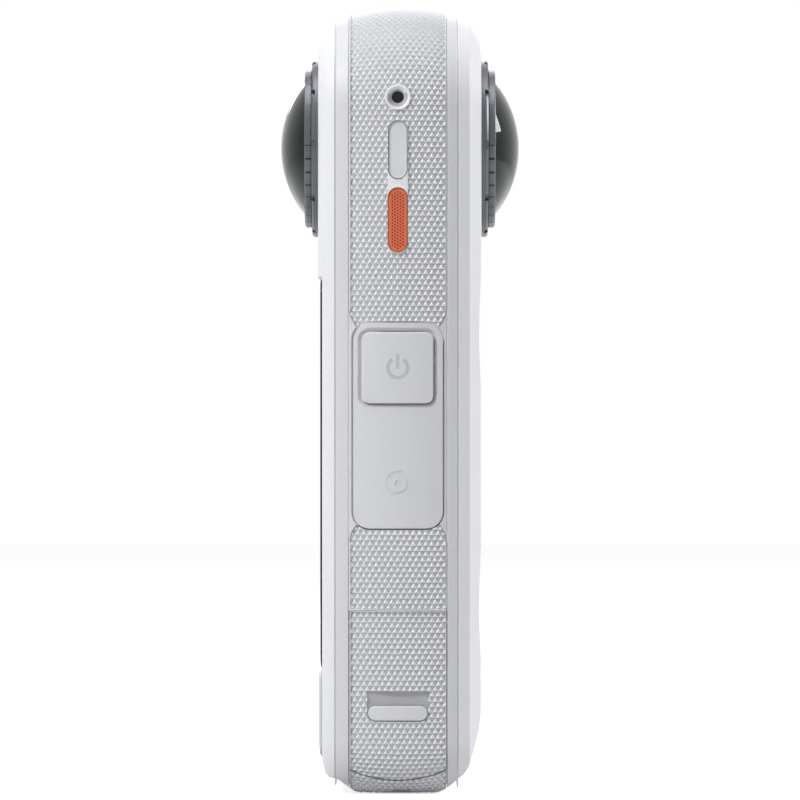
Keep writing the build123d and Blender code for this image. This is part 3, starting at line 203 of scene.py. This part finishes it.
plastics = {
    # satin polycarbonate of the casing, cool white
    "satinPolycarbonate": {"colour": "#E2E3E7", "shade": "#DDDEE2", "grain": 0.09, "drift": 14,
                           "gloss": (0.38, 0.46), "relief": 0.10, "depth": 0.01, "ior": 1.58},
    # soft elastomer of the grip, whiter and duller than the casing, with painted shade on the floor of its
    # texture
    "gripElastomer": {"colour": "#E9EAEE", "shade": "#E4E5E9", "valleyShade": "#B0B1B5", "grain": 0.12,
                      "drift": 11, "gloss": (0.46, 0.56), "relief": 0.12, "depth": 0.012, "ior": 1.50},
    # middle frame: the same polycarbonate as the casing, moulded a shade greyer than the shells
    "framePolycarbonate": {"colour": "#D2D3D7", "shade": "#CDCED2", "grain": 0.09, "drift": 14,
                           "gloss": (0.40, 0.48), "relief": 0.10, "depth": 0.01, "ior": 1.58},
    # keys: the same polycarbonate, a shade greyer
    "keyPolycarbonate": {"colour": "#D5D6DA", "shade": "#D0D1D5", "grain": 0.08, "drift": 9,
                         "gloss": (0.40, 0.48), "relief": 0.10, "depth": 0.01, "ior": 1.58},
    # moulded symbols sunk into the keys, their fill darkened as painted shade of the grooves so that they
    # read
    "paintedGrooveShade": {"colour": "#BEBFC3", "shade": "#B9BABE", "grain": 0.08, "drift": 5,
                  "gloss": (0.45, 0.55), "relief": 0.08, "depth": 0.01, "ior": 1.5},
    # frosted acrylic of the light window
    "frostedAcrylic": {"colour": "#DADCDE", "shade": "#D5D7D9", "grain": 0.05, "drift": 5,
                       "gloss": (0.30, 0.38), "relief": 0.05, "depth": 0.008, "ior": 1.49},
    # orange insert: mass-coloured ABS
    "orangeABS": {"colour": "#DE6A3E", "shade": "#D66138", "grain": 0.07, "drift": 4,
                  "gloss": (0.40, 0.50), "relief": 0.10, "depth": 0.01, "ior": 1.54},
    # matte black ABS of the inner pieces
    "blackABS": {"colour": "#17181A", "shade": "#121314", "grain": 0.10, "drift": 6,
                 "gloss": (0.50, 0.62), "relief": 0.15, "depth": 0.012, "ior": 1.54},
    # dark shell of the battery
    "batteryABS": {"colour": "#2A2B2E", "shade": "#252629", "grain": 0.12, "drift": 8,
                   "gloss": (0.48, 0.58), "relief": 0.15, "depth": 0.012, "ior": 1.54},
    # printed circuit boards under green solder mask
    "solderMask": {"colour": "#14513A", "shade": "#0F452F", "grain": 0.35, "drift": 3,
                   "gloss": (0.28, 0.36), "relief": 0.12, "depth": 0.02, "ior": 1.5},
    # silicone rubber seals and the thermal pad
    "siliconeRubber": {"colour": "#5A5B5F", "shade": "#525357", "grain": 0.15, "drift": 3,
                       "gloss": (0.55, 0.68), "relief": 0.2, "depth": 0.015, "ior": 1.43},
    # acoustic mesh behind the microphone hole
    "acousticMesh": {"colour": "#2E2F31", "shade": "#1E1F21", "grain": 0.12, "drift": 0.4,
                     "gloss": (0.55, 0.70), "relief": 0.5, "depth": 0.03, "ior": 1.5},
}
finishes = {name: mouldedPlastic(name, look) for name, look in plastics.items()}


def worked(name, look):
    # Metal with a varied polish: streaked along its length where it is drawn, and otherwise grained.
    material, tree = newMaterial(name)
    spot = addNode(tree, "ShaderNodeTexCoord")
    line = addNode(tree, "ShaderNodeMapping", {},
                   {"Vector": spot.outputs["Object"], "Scale": look["stretch"]})
    streak = addNode(tree, "ShaderNodeTexNoise", {},
                     {"Vector": line.outputs[0], "Scale": 1 / (look["grain"] * mm), "Detail": 4.0})
    tone = addNode(tree, "ShaderNodeMix", {"data_type": "RGBA"},
                   {"Factor": streak.outputs["Fac"], 6: linear(look["colour"]), 7: linear(look["shade"])})
    polish = addNode(tree, "ShaderNodeMapRange", {},
                     {"Value": streak.outputs["Fac"], "To Min": look["gloss"][0],
                      "To Max": look["gloss"][1]})
    relief = addNode(tree, "ShaderNodeBump", {},
                     {"Height": streak.outputs["Fac"], "Strength": look["relief"],
                      "Distance": look["depth"] * mm})
    body = addNode(tree, "ShaderNodeBsdfPrincipled", {},
                   {"Base Color": tone.outputs[2], "Metallic": look["metal"],
                    "Roughness": polish.outputs[0], "Normal": relief.outputs[0]})
    return finishMaterial(material, body)


metals = {
    # bead-blasted and dark anodised aluminium of the lens rings
    "darkAnodisedAluminium": {"colour": "#66686C", "shade": "#55575B", "grain": 0.12, "metal": 0.85,
                              "stretch": (1, 1, 1), "gloss": (0.36, 0.46), "relief": 0.15, "depth": 0.01},
    # drawn stainless steel of screws, pins, shields and switches
    "stainlessSteel": {"colour": "#B9BABC", "shade": "#A8A9AC", "grain": 0.2, "metal": 1.0,
                       "stretch": (1, 6, 1), "gloss": (0.24, 0.36), "relief": 0.12, "depth": 0.008},
    # die-cast alloy of the chassis and carriers
    "castAlloy": {"colour": "#A6A8AB", "shade": "#96989B", "grain": 0.3, "metal": 0.9,
                  "stretch": (1, 1, 1), "gloss": (0.42, 0.55), "relief": 0.25, "depth": 0.03},
}
finishes.update({name: worked(name, look) for name, look in metals.items()})


def opticalGlass(name, look):
    # Ground and polished glass with an anti-reflection coating, which tints what it mirrors.
    material, tree = newMaterial(name)
    spot = addNode(tree, "ShaderNodeTexCoord")
    smear = addNode(tree, "ShaderNodeTexNoise", {},
                    {"Vector": spot.outputs["Object"], "Scale": 1 / (look["smear"] * mm), "Detail": 2.0})
    polish = addNode(tree, "ShaderNodeMapRange", {},
                     {"Value": smear.outputs["Fac"], "To Min": look["gloss"][0], "To Max": look["gloss"][1]})
    body = addNode(tree, "ShaderNodeBsdfPrincipled", {},
                   {"Base Color": linear(look["colour"]), "Roughness": polish.outputs[0],
                    "Transmission Weight": look["clear"], "IOR": look["ior"],
                    "Specular Tint": linear(look["coating"]),
                    "Specular IOR Level": look["mirror"]})
    return finishMaterial(material, body)


glasses = {
    # hard-coated guard dome
    "coatedDome": {"colour": "#18211F", "smear": 6, "gloss": (0.0, 0.02), "clear": 1.0, "ior": 1.36,
                   "coating": "#C6D6D1", "mirror": 0.22},
    # first element of the lens
    "lensElement": {"colour": "#070B0A", "smear": 4, "gloss": (0.03, 0.08), "clear": 0.0, "ior": 1.62,
                    "coating": "#A9C4BC", "mirror": 0.22},
    # black printed cover glass of the touchscreen
    "coverGlass": {"colour": "#050506", "smear": 9, "gloss": (0.03, 0.07), "clear": 0.0, "ior": 1.51,
                   "coating": "#FFFFFF", "mirror": 0.3},
}
finishes.update({name: opticalGlass(name, look) for name, look in glasses.items()})


def layFinish(piece, finish):
    # one material over the whole piece
    piece.data.materials.clear()
    piece.data.materials.append(finishes[finish])
    for face in piece.data.polygons:
        face.material_index = 0


slotFinish = {
    "casing": "satinPolycarbonate", "grip": "gripElastomer", "keys": "keyPolycarbonate",
    "orange": "orangeABS", "light_window": "frostedAcrylic", "ring_dark": "darkAnodisedAluminium",
    "dome_glass": "coatedDome", "lens_glass": "lensElement", "barrel_black": "blackABS",
    "screen_glass": "coverGlass", "display": "coverGlass", "metal": "stainlessSteel",
    "alloy": "castAlloy", "board": "solderMask", "seal": "siliconeRubber", "battery": "batteryABS",
    "black_part": "blackABS", "mesh": "acousticMesh",
}
slotOf = {part["node"]: part["material_slot"] for part in frame["record"]["subparts"]}
for name, node in nodes.items():
    layFinish(node, slotFinish[slotOf[name]])
layFinish(nodes["mid_frame"], "framePolycarbonate")    # its slot is the same as the shells'
print("materials laid on", len(nodes), "CAD nodes")


# Outline of the casing, seen from the front: the radii of its corners, how far the base would lie
# under the floor if it weren't flat, and the radius of the crown that arches across it.

body = {"topCorner": 16.0, "baseCorner": 8.5, "baseDrop": 0.8, "crown": 31.0}
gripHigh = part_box("top_grip")[1]
halfWidth = gripHigh.x / mm
bodyTop = gripHigh.z / mm

# lengths along the outline from the middle of the top, down the right side to the middle of the base
topRun = halfWidth - body["topCorner"]
topArc = body["topCorner"] * math.pi / 2
sideRun = bodyTop + body["baseDrop"] - body["topCorner"] - body["baseCorner"]
baseArc = body["baseCorner"] * math.pi / 2
baseRun = halfWidth - body["baseCorner"]
halfOutline = topRun + topArc + sideRun + baseArc + baseRun


def outlinePlace(along):
    # place and outward direction on the right half of the outline
    if along < topRun:
        return along, bodyTop, 0, 1
    along -= topRun
    if along < topArc:
        turn = along / body["topCorner"]
        centreX, centreZ = topRun, bodyTop - body["topCorner"]
        return (centreX + body["topCorner"] * math.sin(turn), centreZ + body["topCorner"] * math.cos(turn),
                math.sin(turn), math.cos(turn))
    along -= topArc
    if along < sideRun:
        return halfWidth, bodyTop - body["topCorner"] - along, 1, 0
    along -= sideRun
    if along < baseArc:
        turn = along / body["baseCorner"]
        centreX, centreZ = baseRun, body["baseCorner"] - body["baseDrop"]
        return (centreX + body["baseCorner"] * math.cos(turn), centreZ - body["baseCorner"] * math.sin(turn),
                math.cos(turn), -math.sin(turn))
    along -= baseArc
    return baseRun - along, -body["baseDrop"], 0, -1


def wrapped(across, along, depth):
    # a point of a flat sheet laid on the crowned outline, depth millimetres under it
    flip = -1 if along < 0 or along > halfOutline else 1
    x, z, outX, outZ = outlinePlace(min(abs(along), 2 * halfOutline - abs(along)))
    fall = body["crown"] - math.sqrt(body["crown"] ** 2 - across ** 2)
    x, z = x - outX * fall, max(z - outZ * fall, 0)
    return Vector((flip * (x - outX * depth), across, z - outZ * depth)) * mm


def depthUnder(point):
    # how many millimetres a point lies under the crowned outline
    x, z = abs(point.x) / mm, point.z / mm
    inset = min(halfWidth - x, bodyTop - z, z + body["baseDrop"])
    for corner, centreZ, beyond in ((body["topCorner"], bodyTop - body["topCorner"], 1),
                                    (body["baseCorner"], body["baseCorner"] - body["baseDrop"], -1)):
        besideX, besideZ = x - halfWidth + corner, beyond * (z - centreZ)
        if besideX > 0 and besideZ > 0:
            inset = corner - math.hypot(besideX, besideZ)
    across = point.y / mm
    return inset - body["crown"] + math.sqrt(body["crown"] ** 2 - across ** 2)


def alongAt(height):
    # distance along the outline of a height on the straight side
    return topRun + topArc + bodyTop - body["topCorner"] - height


# Steps that the pieces share

def selectNone():
    if bpy.context.object and bpy.context.object.mode == "EDIT":
        bpy.ops.object.mode_set(mode="OBJECT")
    bpy.ops.object.select_all(action="DESELECT")


def makeActive(piece):
    selectNone()
    piece.select_set(True)
    bpy.context.view_layer.objects.active = piece


def selectMesh(piece):
    # into edit mode with the whole mesh selected
    makeActive(piece)
    bpy.ops.object.mode_set(mode="EDIT")
    bpy.ops.mesh.select_all(action="SELECT")


def turnOutwards(piece):
    # every face of a closed piece faces outwards
    selectMesh(piece)
    bpy.ops.mesh.normals_make_consistent(inside=False)
    bpy.ops.object.mode_set(mode="OBJECT")


def cutWith(piece, cutter):
    # takes the cutter's shape out of the piece, and then the cutter goes
    makeActive(piece)
    cut = piece.modifiers.new("cut", "BOOLEAN")
    cut.operation = "DIFFERENCE"
    cut.object = cutter
    cut.solver = "EXACT"
    bpy.ops.object.modifier_apply(modifier=cut.name)
    bpy.data.objects.remove(cutter, do_unlink=True)


block = {"through": 6, "segments": 12}    # its length through the side, and the steps of its corners
weld = 0.001    # points of a CAD mesh that are closer than this become one


def prism(name, centre, size, corner):
    # a block through the right side with rounded corners, its centre and size given across and up
    selectNone()
    bpy.ops.mesh.primitive_cube_add(
        size=1, location=(halfWidth * mm, centre[0] * mm, centre[1] * mm),
        scale=(block["through"] * mm, size[0] * mm, size[1] * mm),
    )
    solid = bpy.context.object
    solid.name = name
    bpy.ops.object.transform_apply(location=True, rotation=True, scale=True)
    bpy.ops.object.mode_set(mode="EDIT")
    bpy.ops.mesh.select_mode(type="EDGE")
    bpy.ops.mesh.select_all(action="DESELECT")
    bpy.ops.object.mode_set(mode="OBJECT")
    for edge in solid.data.edges:
        a, b = (solid.data.vertices[i].co for i in edge.vertices)
        edge.select = abs(a.x - b.x) > block["through"] / 2 * mm
    bpy.ops.object.mode_set(mode="EDIT")
    bpy.ops.mesh.bevel(offset=corner * mm, segments=block["segments"], affect="EDGES")
    bpy.ops.object.mode_set(mode="OBJECT")
    return solid


def cadCopy(node, name):
    # a copy of a CAD node, its loose triangles merged, to be cut and finished as a piece of its own
    copy = nodes[node].copy()
    copy.data = nodes[node].data.copy()
    copy.name = name
    copy.parent = None
    # without these marks of the CAD node it is an ordinary piece
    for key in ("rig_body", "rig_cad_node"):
        if key in copy:
            del copy[key]
    bpy.context.collection.objects.link(copy)
    selectMesh(copy)
    bpy.ops.mesh.remove_doubles(threshold=weld * mm)
    bpy.ops.object.mode_set(mode="OBJECT")
    return copy


# Grip texture: rows of triangles, in which every other one rises to a peak between deep lines. "pitch"
# and "row" are the steps across and along, "valley" is the depth of the lines, "peak" the height of
# the peaks, "pit" how much deeper the other triangles go, "rim" the plain edge of a panel, "cover" how
# far the cutter stands out of the skin, and "wall" its thickness while it is flat.

texture = {"pitch": 0.97, "row": 0.83, "valley": 0.34, "peak": 0.32, "pit": 0.02, "rim": 0.13,
           "cover": 0.6, "wall": 1.0}


def textureCutter(name, low, high, start, end):
    # The underside of a flat cutter, x across and y along the outline between its start and end.
    columns = math.ceil((high - low) / texture["pitch"]) + 2
    rows = round((end - start) / texture["row"])
    selectNone()
    bpy.ops.mesh.primitive_grid_add(x_subdivisions=columns, y_subdivisions=rows, size=1)
    cutter = bpy.context.object
    cutter.name = name
    mesh = cutter.data
    # every other row moves by half a pitch, which makes the short diagonals equal to the sides
    for vertex in mesh.vertices:
        column = round((vertex.co.x + 0.5) * columns)
        row = round((vertex.co.y + 0.5) * rows)
        shift = 0.25 if row % 2 else -0.25
        vertex.co = (low + (column + shift - 1) * texture["pitch"], start + row * texture["row"], 0)
    bpy.context.tool_settings.mesh_select_mode = (False, False, True)
    selectMesh(cutter)
    bpy.ops.mesh.quads_convert_to_tris(quad_method="SHORTEST_DIAGONAL")
    # triangles with their point towards the start become peaks, the others pits
    fullArea = texture["pitch"] * texture["row"] / 2
    for peaks in (True, False):
        bpy.ops.object.mode_set(mode="OBJECT")
        for face in mesh.polygons:
            ends = sorted(mesh.vertices[i].co.y for i in face.vertices)
            upright = ends[1] - ends[0] > ends[2] - ends[1]
            face.select = len(face.vertices) == 3 and upright == peaks and face.area > fullArea / 2
        mesh.vertices.foreach_set("select", [False] * len(mesh.vertices))
        mesh.edges.foreach_set("select", [False] * len(mesh.edges))
        bpy.ops.object.mode_set(mode="EDIT")
        bpy.ops.mesh.poke(offset=texture["peak"] if peaks else -texture["pit"])
    # trimmed to the plain rims of the panel
    for edge, outward in ((low, -1), (high, 1)):
        bpy.ops.mesh.select_all(action="SELECT")
        bpy.ops.mesh.bisect(plane_co=(edge, 0, 0), plane_no=(outward, 0, 0), clear_outer=True)
    bpy.ops.object.mode_set(mode="OBJECT")
    return cutter


def texturedPanel(node, name, finish, rideOn, start, end, keep=()):
    # A CAD panel whose outer skin is cut down to the texture between two places along the outline.
    low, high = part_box(node)
    cutter = textureCutter(name + "Cutter", low.y / mm + texture["rim"], high.y / mm - texture["rim"],
                           start, end)
    # the cutter gets its wall while it is flat, and is then laid on the outline
    selectMesh(cutter)
    bpy.ops.mesh.extrude_region_move(TRANSFORM_OT_translate={"value": (0, 0, texture["wall"])})
    bpy.ops.object.mode_set(mode="OBJECT")
    for vertex in cutter.data.vertices:
        upper = vertex.co.z > texture["wall"] / 2
        depth = -texture["cover"] if upper else texture["valley"] - vertex.co.z
        vertex.co = wrapped(vertex.co.x, vertex.co.y, depth)
    turnOutwards(cutter)
    for plain in keep:
        cutWith(cutter, plain)
    panel = cadCopy(node, name)
    cutWith(panel, cutter)
    layFinish(panel, finish)
    depths = [depthUnder(vertex.co) for vertex in panel.data.vertices]
    # painted shade: faces down in the valleys of the texture are marked 1 and take the darker colour, raised
    # faces 0
    valleyShade = panel.data.attributes.new("valleyShade", "FLOAT", "FACE")
    for face, shade in zip(panel.data.polygons, valleyShade.data):
        face.use_smooth = False
        raised = min(depths[i] for i in face.vertices) < texture["valley"] / 2
        shade.value = 0 if raised else 1
    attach(panel, rideOn)
    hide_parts(node)
    print(name, "has", len(panel.data.polygons), "faces")


# Heights where the texture begins or ends, how far it runs on under the key plate, and what stays plain:
# the collar round the light window and the grille, and the rim of the microphone hole. "across" is the
# middle of the row of openings.

strip = {"across": -0.35, "underPlate": 4, "doorTop": 28.8, "baseTop": 10}
collar = {"width": 3.12, "low": 84.95, "high": 105.9, "corner": 1.55}
portRim = {"at": 109.5, "radius": 2.0}
fullRound = 0.98    # the share of half a width that a bevel can round

coverLow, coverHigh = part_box("battery_cover")
plateLow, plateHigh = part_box("quick_button")
texturedPanel(
    "top_grip", "upperGripPanel", "gripElastomer", "root",
    -alongAt(coverHigh.z / mm), alongAt(plateHigh.z / mm - strip["underPlate"]),
    [prism("collarKeep", (strip["across"], (collar["low"] + collar["high"]) / 2),
           (collar["width"], collar["high"] - collar["low"]), collar["corner"]),
     prism("portKeep", (strip["across"], portRim["at"]), (2 * portRim["radius"], 2 * portRim["radius"]),
           portRim["radius"] * fullRound)],
)
texturedPanel("side_grip", "lowerGripPanel", "gripElastomer", "root",
              alongAt(plateLow.z / mm + strip["underPlate"]), alongAt(strip["doorTop"]))
texturedPanel("usb_door", "portCover", "gripElastomer", "usb_door",
              alongAt(strip["doorTop"]), halfOutline)
texturedPanel("base_grip", "baseGripPanel", "gripElastomer", "root",
              alongAt(strip["baseTop"]), 2 * halfOutline - alongAt(coverLow.z / mm))
texturedPanel("battery_cover", "batteryCover", "gripElastomer", "battery",
              -alongAt(coverLow.z / mm), -alongAt(coverHigh.z / mm))


# Gaps between mouldings: each has a lip in it, so that it reads as a shallow line. "seamUnder" and
# "keyUnder" are how far the lips lie under the surface, and "deep" is where their undersides are.

gap = {"deep": 0.4, "steps": 400, "seamWidth": 0.13, "seamUnder": 0.16, "keyWidth": 0.15, "keyUnder": 0.06}


def gapLip(name, finish, rideOn, path, width, under):
    # A ring of square section drawn out along a path of surface points, each with its directions.
    selectNone()
    bpy.ops.mesh.primitive_torus_add(major_segments=len(path), minor_segments=4,
                                     major_radius=10 * mm, minor_radius=mm)
    lip = bpy.context.object
    lip.name = name
    # the torus has four points to each place of the path. They become the corners of the section,
    # whatever its own size.
    corners = ((under, -0.5), (under, 0.5), (gap["deep"], 0.5), (gap["deep"], -0.5))
    for i, vertex in enumerate(lip.data.vertices):
        spot, outward, sideways = path[i // 4]
        depth, side = corners[i % 4]
        vertex.co = spot - outward * depth * mm + sideways * side * width * mm
    turnOutwards(lip)
    layFinish(lip, finish)
    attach(lip, rideOn)


def seamPath(across):
    # all the way round the outline at one place across the body
    path = []
    for i in range(gap["steps"]):
        along = 2 * halfOutline * i / gap["steps"]
        spot = wrapped(across, along, 0)
        path.append((spot, (spot - wrapped(across, along, 1)).normalized(), Vector((0, 1, 0))))
    return path


def keyPath(centre, size, corner, recess):
    # round a key on the right side: a rounded rectangle given across and up
    path = []
    for i in range(gap["steps"]):
        turn = 2 * math.pi * i / gap["steps"]
        outY, outZ = math.cos(turn), math.sin(turn)
        y = centre[0] + math.copysign(size[0] / 2 - corner, outY) + corner * outY
        z = centre[1] + math.copysign(size[1] / 2 - corner, outZ) + corner * outZ
        fall = body["crown"] - math.sqrt(body["crown"] ** 2 - y ** 2)
        spot = Vector((halfWidth - fall - recess, y, z)) * mm
        path.append((spot, Vector((1, 0, 0)), Vector((0, outY, outZ))))
    return path


def ringPath(centre, radius):
    # round a lens
    path = []
    for i in range(gap["steps"]):
        turn = 2 * math.pi * i / gap["steps"]
        outward = Vector((math.cos(turn), 0, math.sin(turn)))
        path.append((centre + radius * outward, outward, Vector((0, 1, 0))))
    return path


# where the seams between the middle frame and the shells lie across the body
seams = {"frontSeamLip": -10.175, "rearSeamLip": 9.105}
for name, across in seams.items():
    gapLip(name, "framePolycarbonate", "root", seamPath(across), gap["seamWidth"], gap["seamUnder"])

# "recess" is how far the rim of a key lies behind the crowned outline
powerLow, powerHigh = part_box("power_button")
keyLips = {
    "plateLip": {"around": (plateLow, plateHigh), "corner": 2.7, "recess": 0.3, "ride": "root"},
    "powerLip": {"around": (powerLow, powerHigh), "corner": 1.2, "recess": 0.75, "ride": "quick_button"},
}
for name, lip in keyLips.items():
    low, high = lip["around"]
    size = [(high[axis] - low[axis]) / mm + gap["keyWidth"] for axis in (1, 2)]
    centre = ((high.y + low.y) / 2 / mm, (high.z + low.z) / 2 / mm)
    path = keyPath(centre, size, lip["corner"] + gap["keyWidth"] / 2, lip["recess"])
    gapLip(name, "keyPolycarbonate", lip["ride"], path, gap["keyWidth"], gap["keyUnder"])

# bands in the finger grooves of the lens guards, which leave them shallow
guardBand = {"inset": 0.52, "width": 0.86, "under": 0.02}
for side, tip, inwards in (("front", 0, 1), ("rear", 1, -1)):
    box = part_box(side + "_guard_ring")
    centre = (box[0] + box[1]) / 2
    centre.y = box[tip].y + inwards * guardBand["inset"] * mm
    gapLip(side + "GuardBand", "darkAnodisedAluminium", side + "_lens_guard",
           ringPath(centre, (box[1].x - box[0].x) / 2), guardBand["width"], guardBand["under"])
print("gap lips laid")


# Power symbol: fills its groove in the crowned face of the button, "under" its highest point. "radius"
# is the outside of the ring, "mouth" its opening, "bar" the height of the bar and "rise" how far the
# middle of the bar is over that of the ring.

powerSymbol = {"radius": 1.83, "line": 0.56, "mouth": 1.94, "bar": 2.41, "rise": 1.0, "under": 0.004,
               "thick": 0.3, "ringSteps": 96, "barSteps": 48}
symbolAt = Vector((powerHigh.x, strip["across"] * mm, (powerLow.z + powerHigh.z) / 2))


def symbolCircle(radius, steps, fill):
    # a circle round the middle of the symbol, in the face of the button
    selectNone()
    bpy.ops.mesh.primitive_circle_add(vertices=steps, radius=radius * mm, fill_type=fill,
                                      location=symbolAt - Vector((powerSymbol["under"] * mm, 0, 0)),
                                      rotation=(0, math.pi / 2, 0))
    bpy.ops.object.transform_apply(location=True, rotation=True, scale=True)
    return bpy.context.object


def thickened(piece):
    # gives a flat outline on the right side its thickness, inwards
    selectMesh(piece)
    bpy.ops.mesh.extrude_region_move(TRANSFORM_OT_translate={"value": (-powerSymbol["thick"] * mm, 0, 0)})
    turnOutwards(piece)


ringInlay = symbolCircle(powerSymbol["radius"], powerSymbol["ringSteps"], "NOTHING")
ringInlay.name = "powerSymbol"
bpy.ops.object.mode_set(mode="EDIT")
bpy.ops.mesh.select_mode(type="VERT")
bpy.ops.mesh.select_all(action="DESELECT")
bpy.ops.object.mode_set(mode="OBJECT")
for vertex in ringInlay.data.vertices:
    away = vertex.co - symbolAt
    vertex.select = abs(away.y) < powerSymbol["mouth"] / 2 * mm and away.z > 0
bpy.ops.object.mode_set(mode="EDIT")
bpy.ops.mesh.delete(type="VERT")
bpy.ops.mesh.select_all(action="SELECT")
bpy.ops.mesh.extrude_edges_move()
inner = 1 - powerSymbol["line"] / powerSymbol["radius"]
bpy.ops.transform.resize(value=(1, inner, inner), center_override=symbolAt)
thickened(ringInlay)

barInlay = symbolCircle(powerSymbol["line"] / 2, powerSymbol["barSteps"], "NGON")
reach = (powerSymbol["bar"] - powerSymbol["line"]) / 2
for vertex in barInlay.data.vertices:
    vertex.co.z += (powerSymbol["rise"] + math.copysign(reach, vertex.co.z - symbolAt.z)) * mm
thickened(barInlay)
makeActive(ringInlay)
barInlay.select_set(True)
bpy.ops.object.join()
# the symbol's darker grey is painted shade of its groove
layFinish(ringInlay, "paintedGrooveShade")
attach(ringInlay, "power_button")


# Acoustic gauze inside the microphone grille, seen through its holes

gauze = {"margin": 0.25, "under": 0.06, "thick": 0.4}
grilleLow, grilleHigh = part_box("mic_grille")
gauzeSize = [(grilleHigh[axis] - grilleLow[axis]) / mm - 2 * gauze["margin"] for axis in (1, 2)]
gauzeSheet = prism("grilleGauze", (strip["across"], (grilleLow.z + grilleHigh.z) / 2 / mm), gauzeSize,
                   gauzeSize[0] / 2 * fullRound)
for vertex in gauzeSheet.data.vertices:
    outer = vertex.co.x > grilleHigh.x
    vertex.co.x = grilleHigh.x - (gauze["under"] + (0 if outer else gauze["thick"])) * mm
layFinish(gauzeSheet, "blackABS")
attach(gauzeSheet, "root")
print("symbol and gauze placed")


# Foot of the rear shell: closes the shell along its lower edge. "half" is half its length, and its
# outline is given across the body and up, one corner after the other.

foot = {"half": 19.1,
        "outline": ((10.03, 3.08), (10.91, 4.38), (11.59, 6.90), (10.80, 6.88), (10.10, 4.60),
                    (9.30, 3.20))}
selectNone()
bpy.ops.mesh.primitive_cylinder_add(vertices=len(foot["outline"]), radius=mm, depth=2 * foot["half"] * mm,
                                    rotation=(0, math.pi / 2, 0))
shellFoot = bpy.context.object
shellFoot.name = "rearShellFoot"
bpy.ops.object.transform_apply(location=True, rotation=True, scale=True)
# the corners of each end are taken round the axis and moved to the outline
for side in (-1, 1):
    end = [vertex for vertex in shellFoot.data.vertices if vertex.co.x * side > 0]
    end.sort(key=lambda vertex: math.atan2(vertex.co.z, vertex.co.y))
    for vertex, place in zip(end, foot["outline"]):
        vertex.co = (side * foot["half"] * mm, place[0] * mm, place[1] * mm)
turnOutwards(shellFoot)
layFinish(shellFoot, "satinPolycarbonate")
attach(shellFoot, "root")
print("rear shell closed")
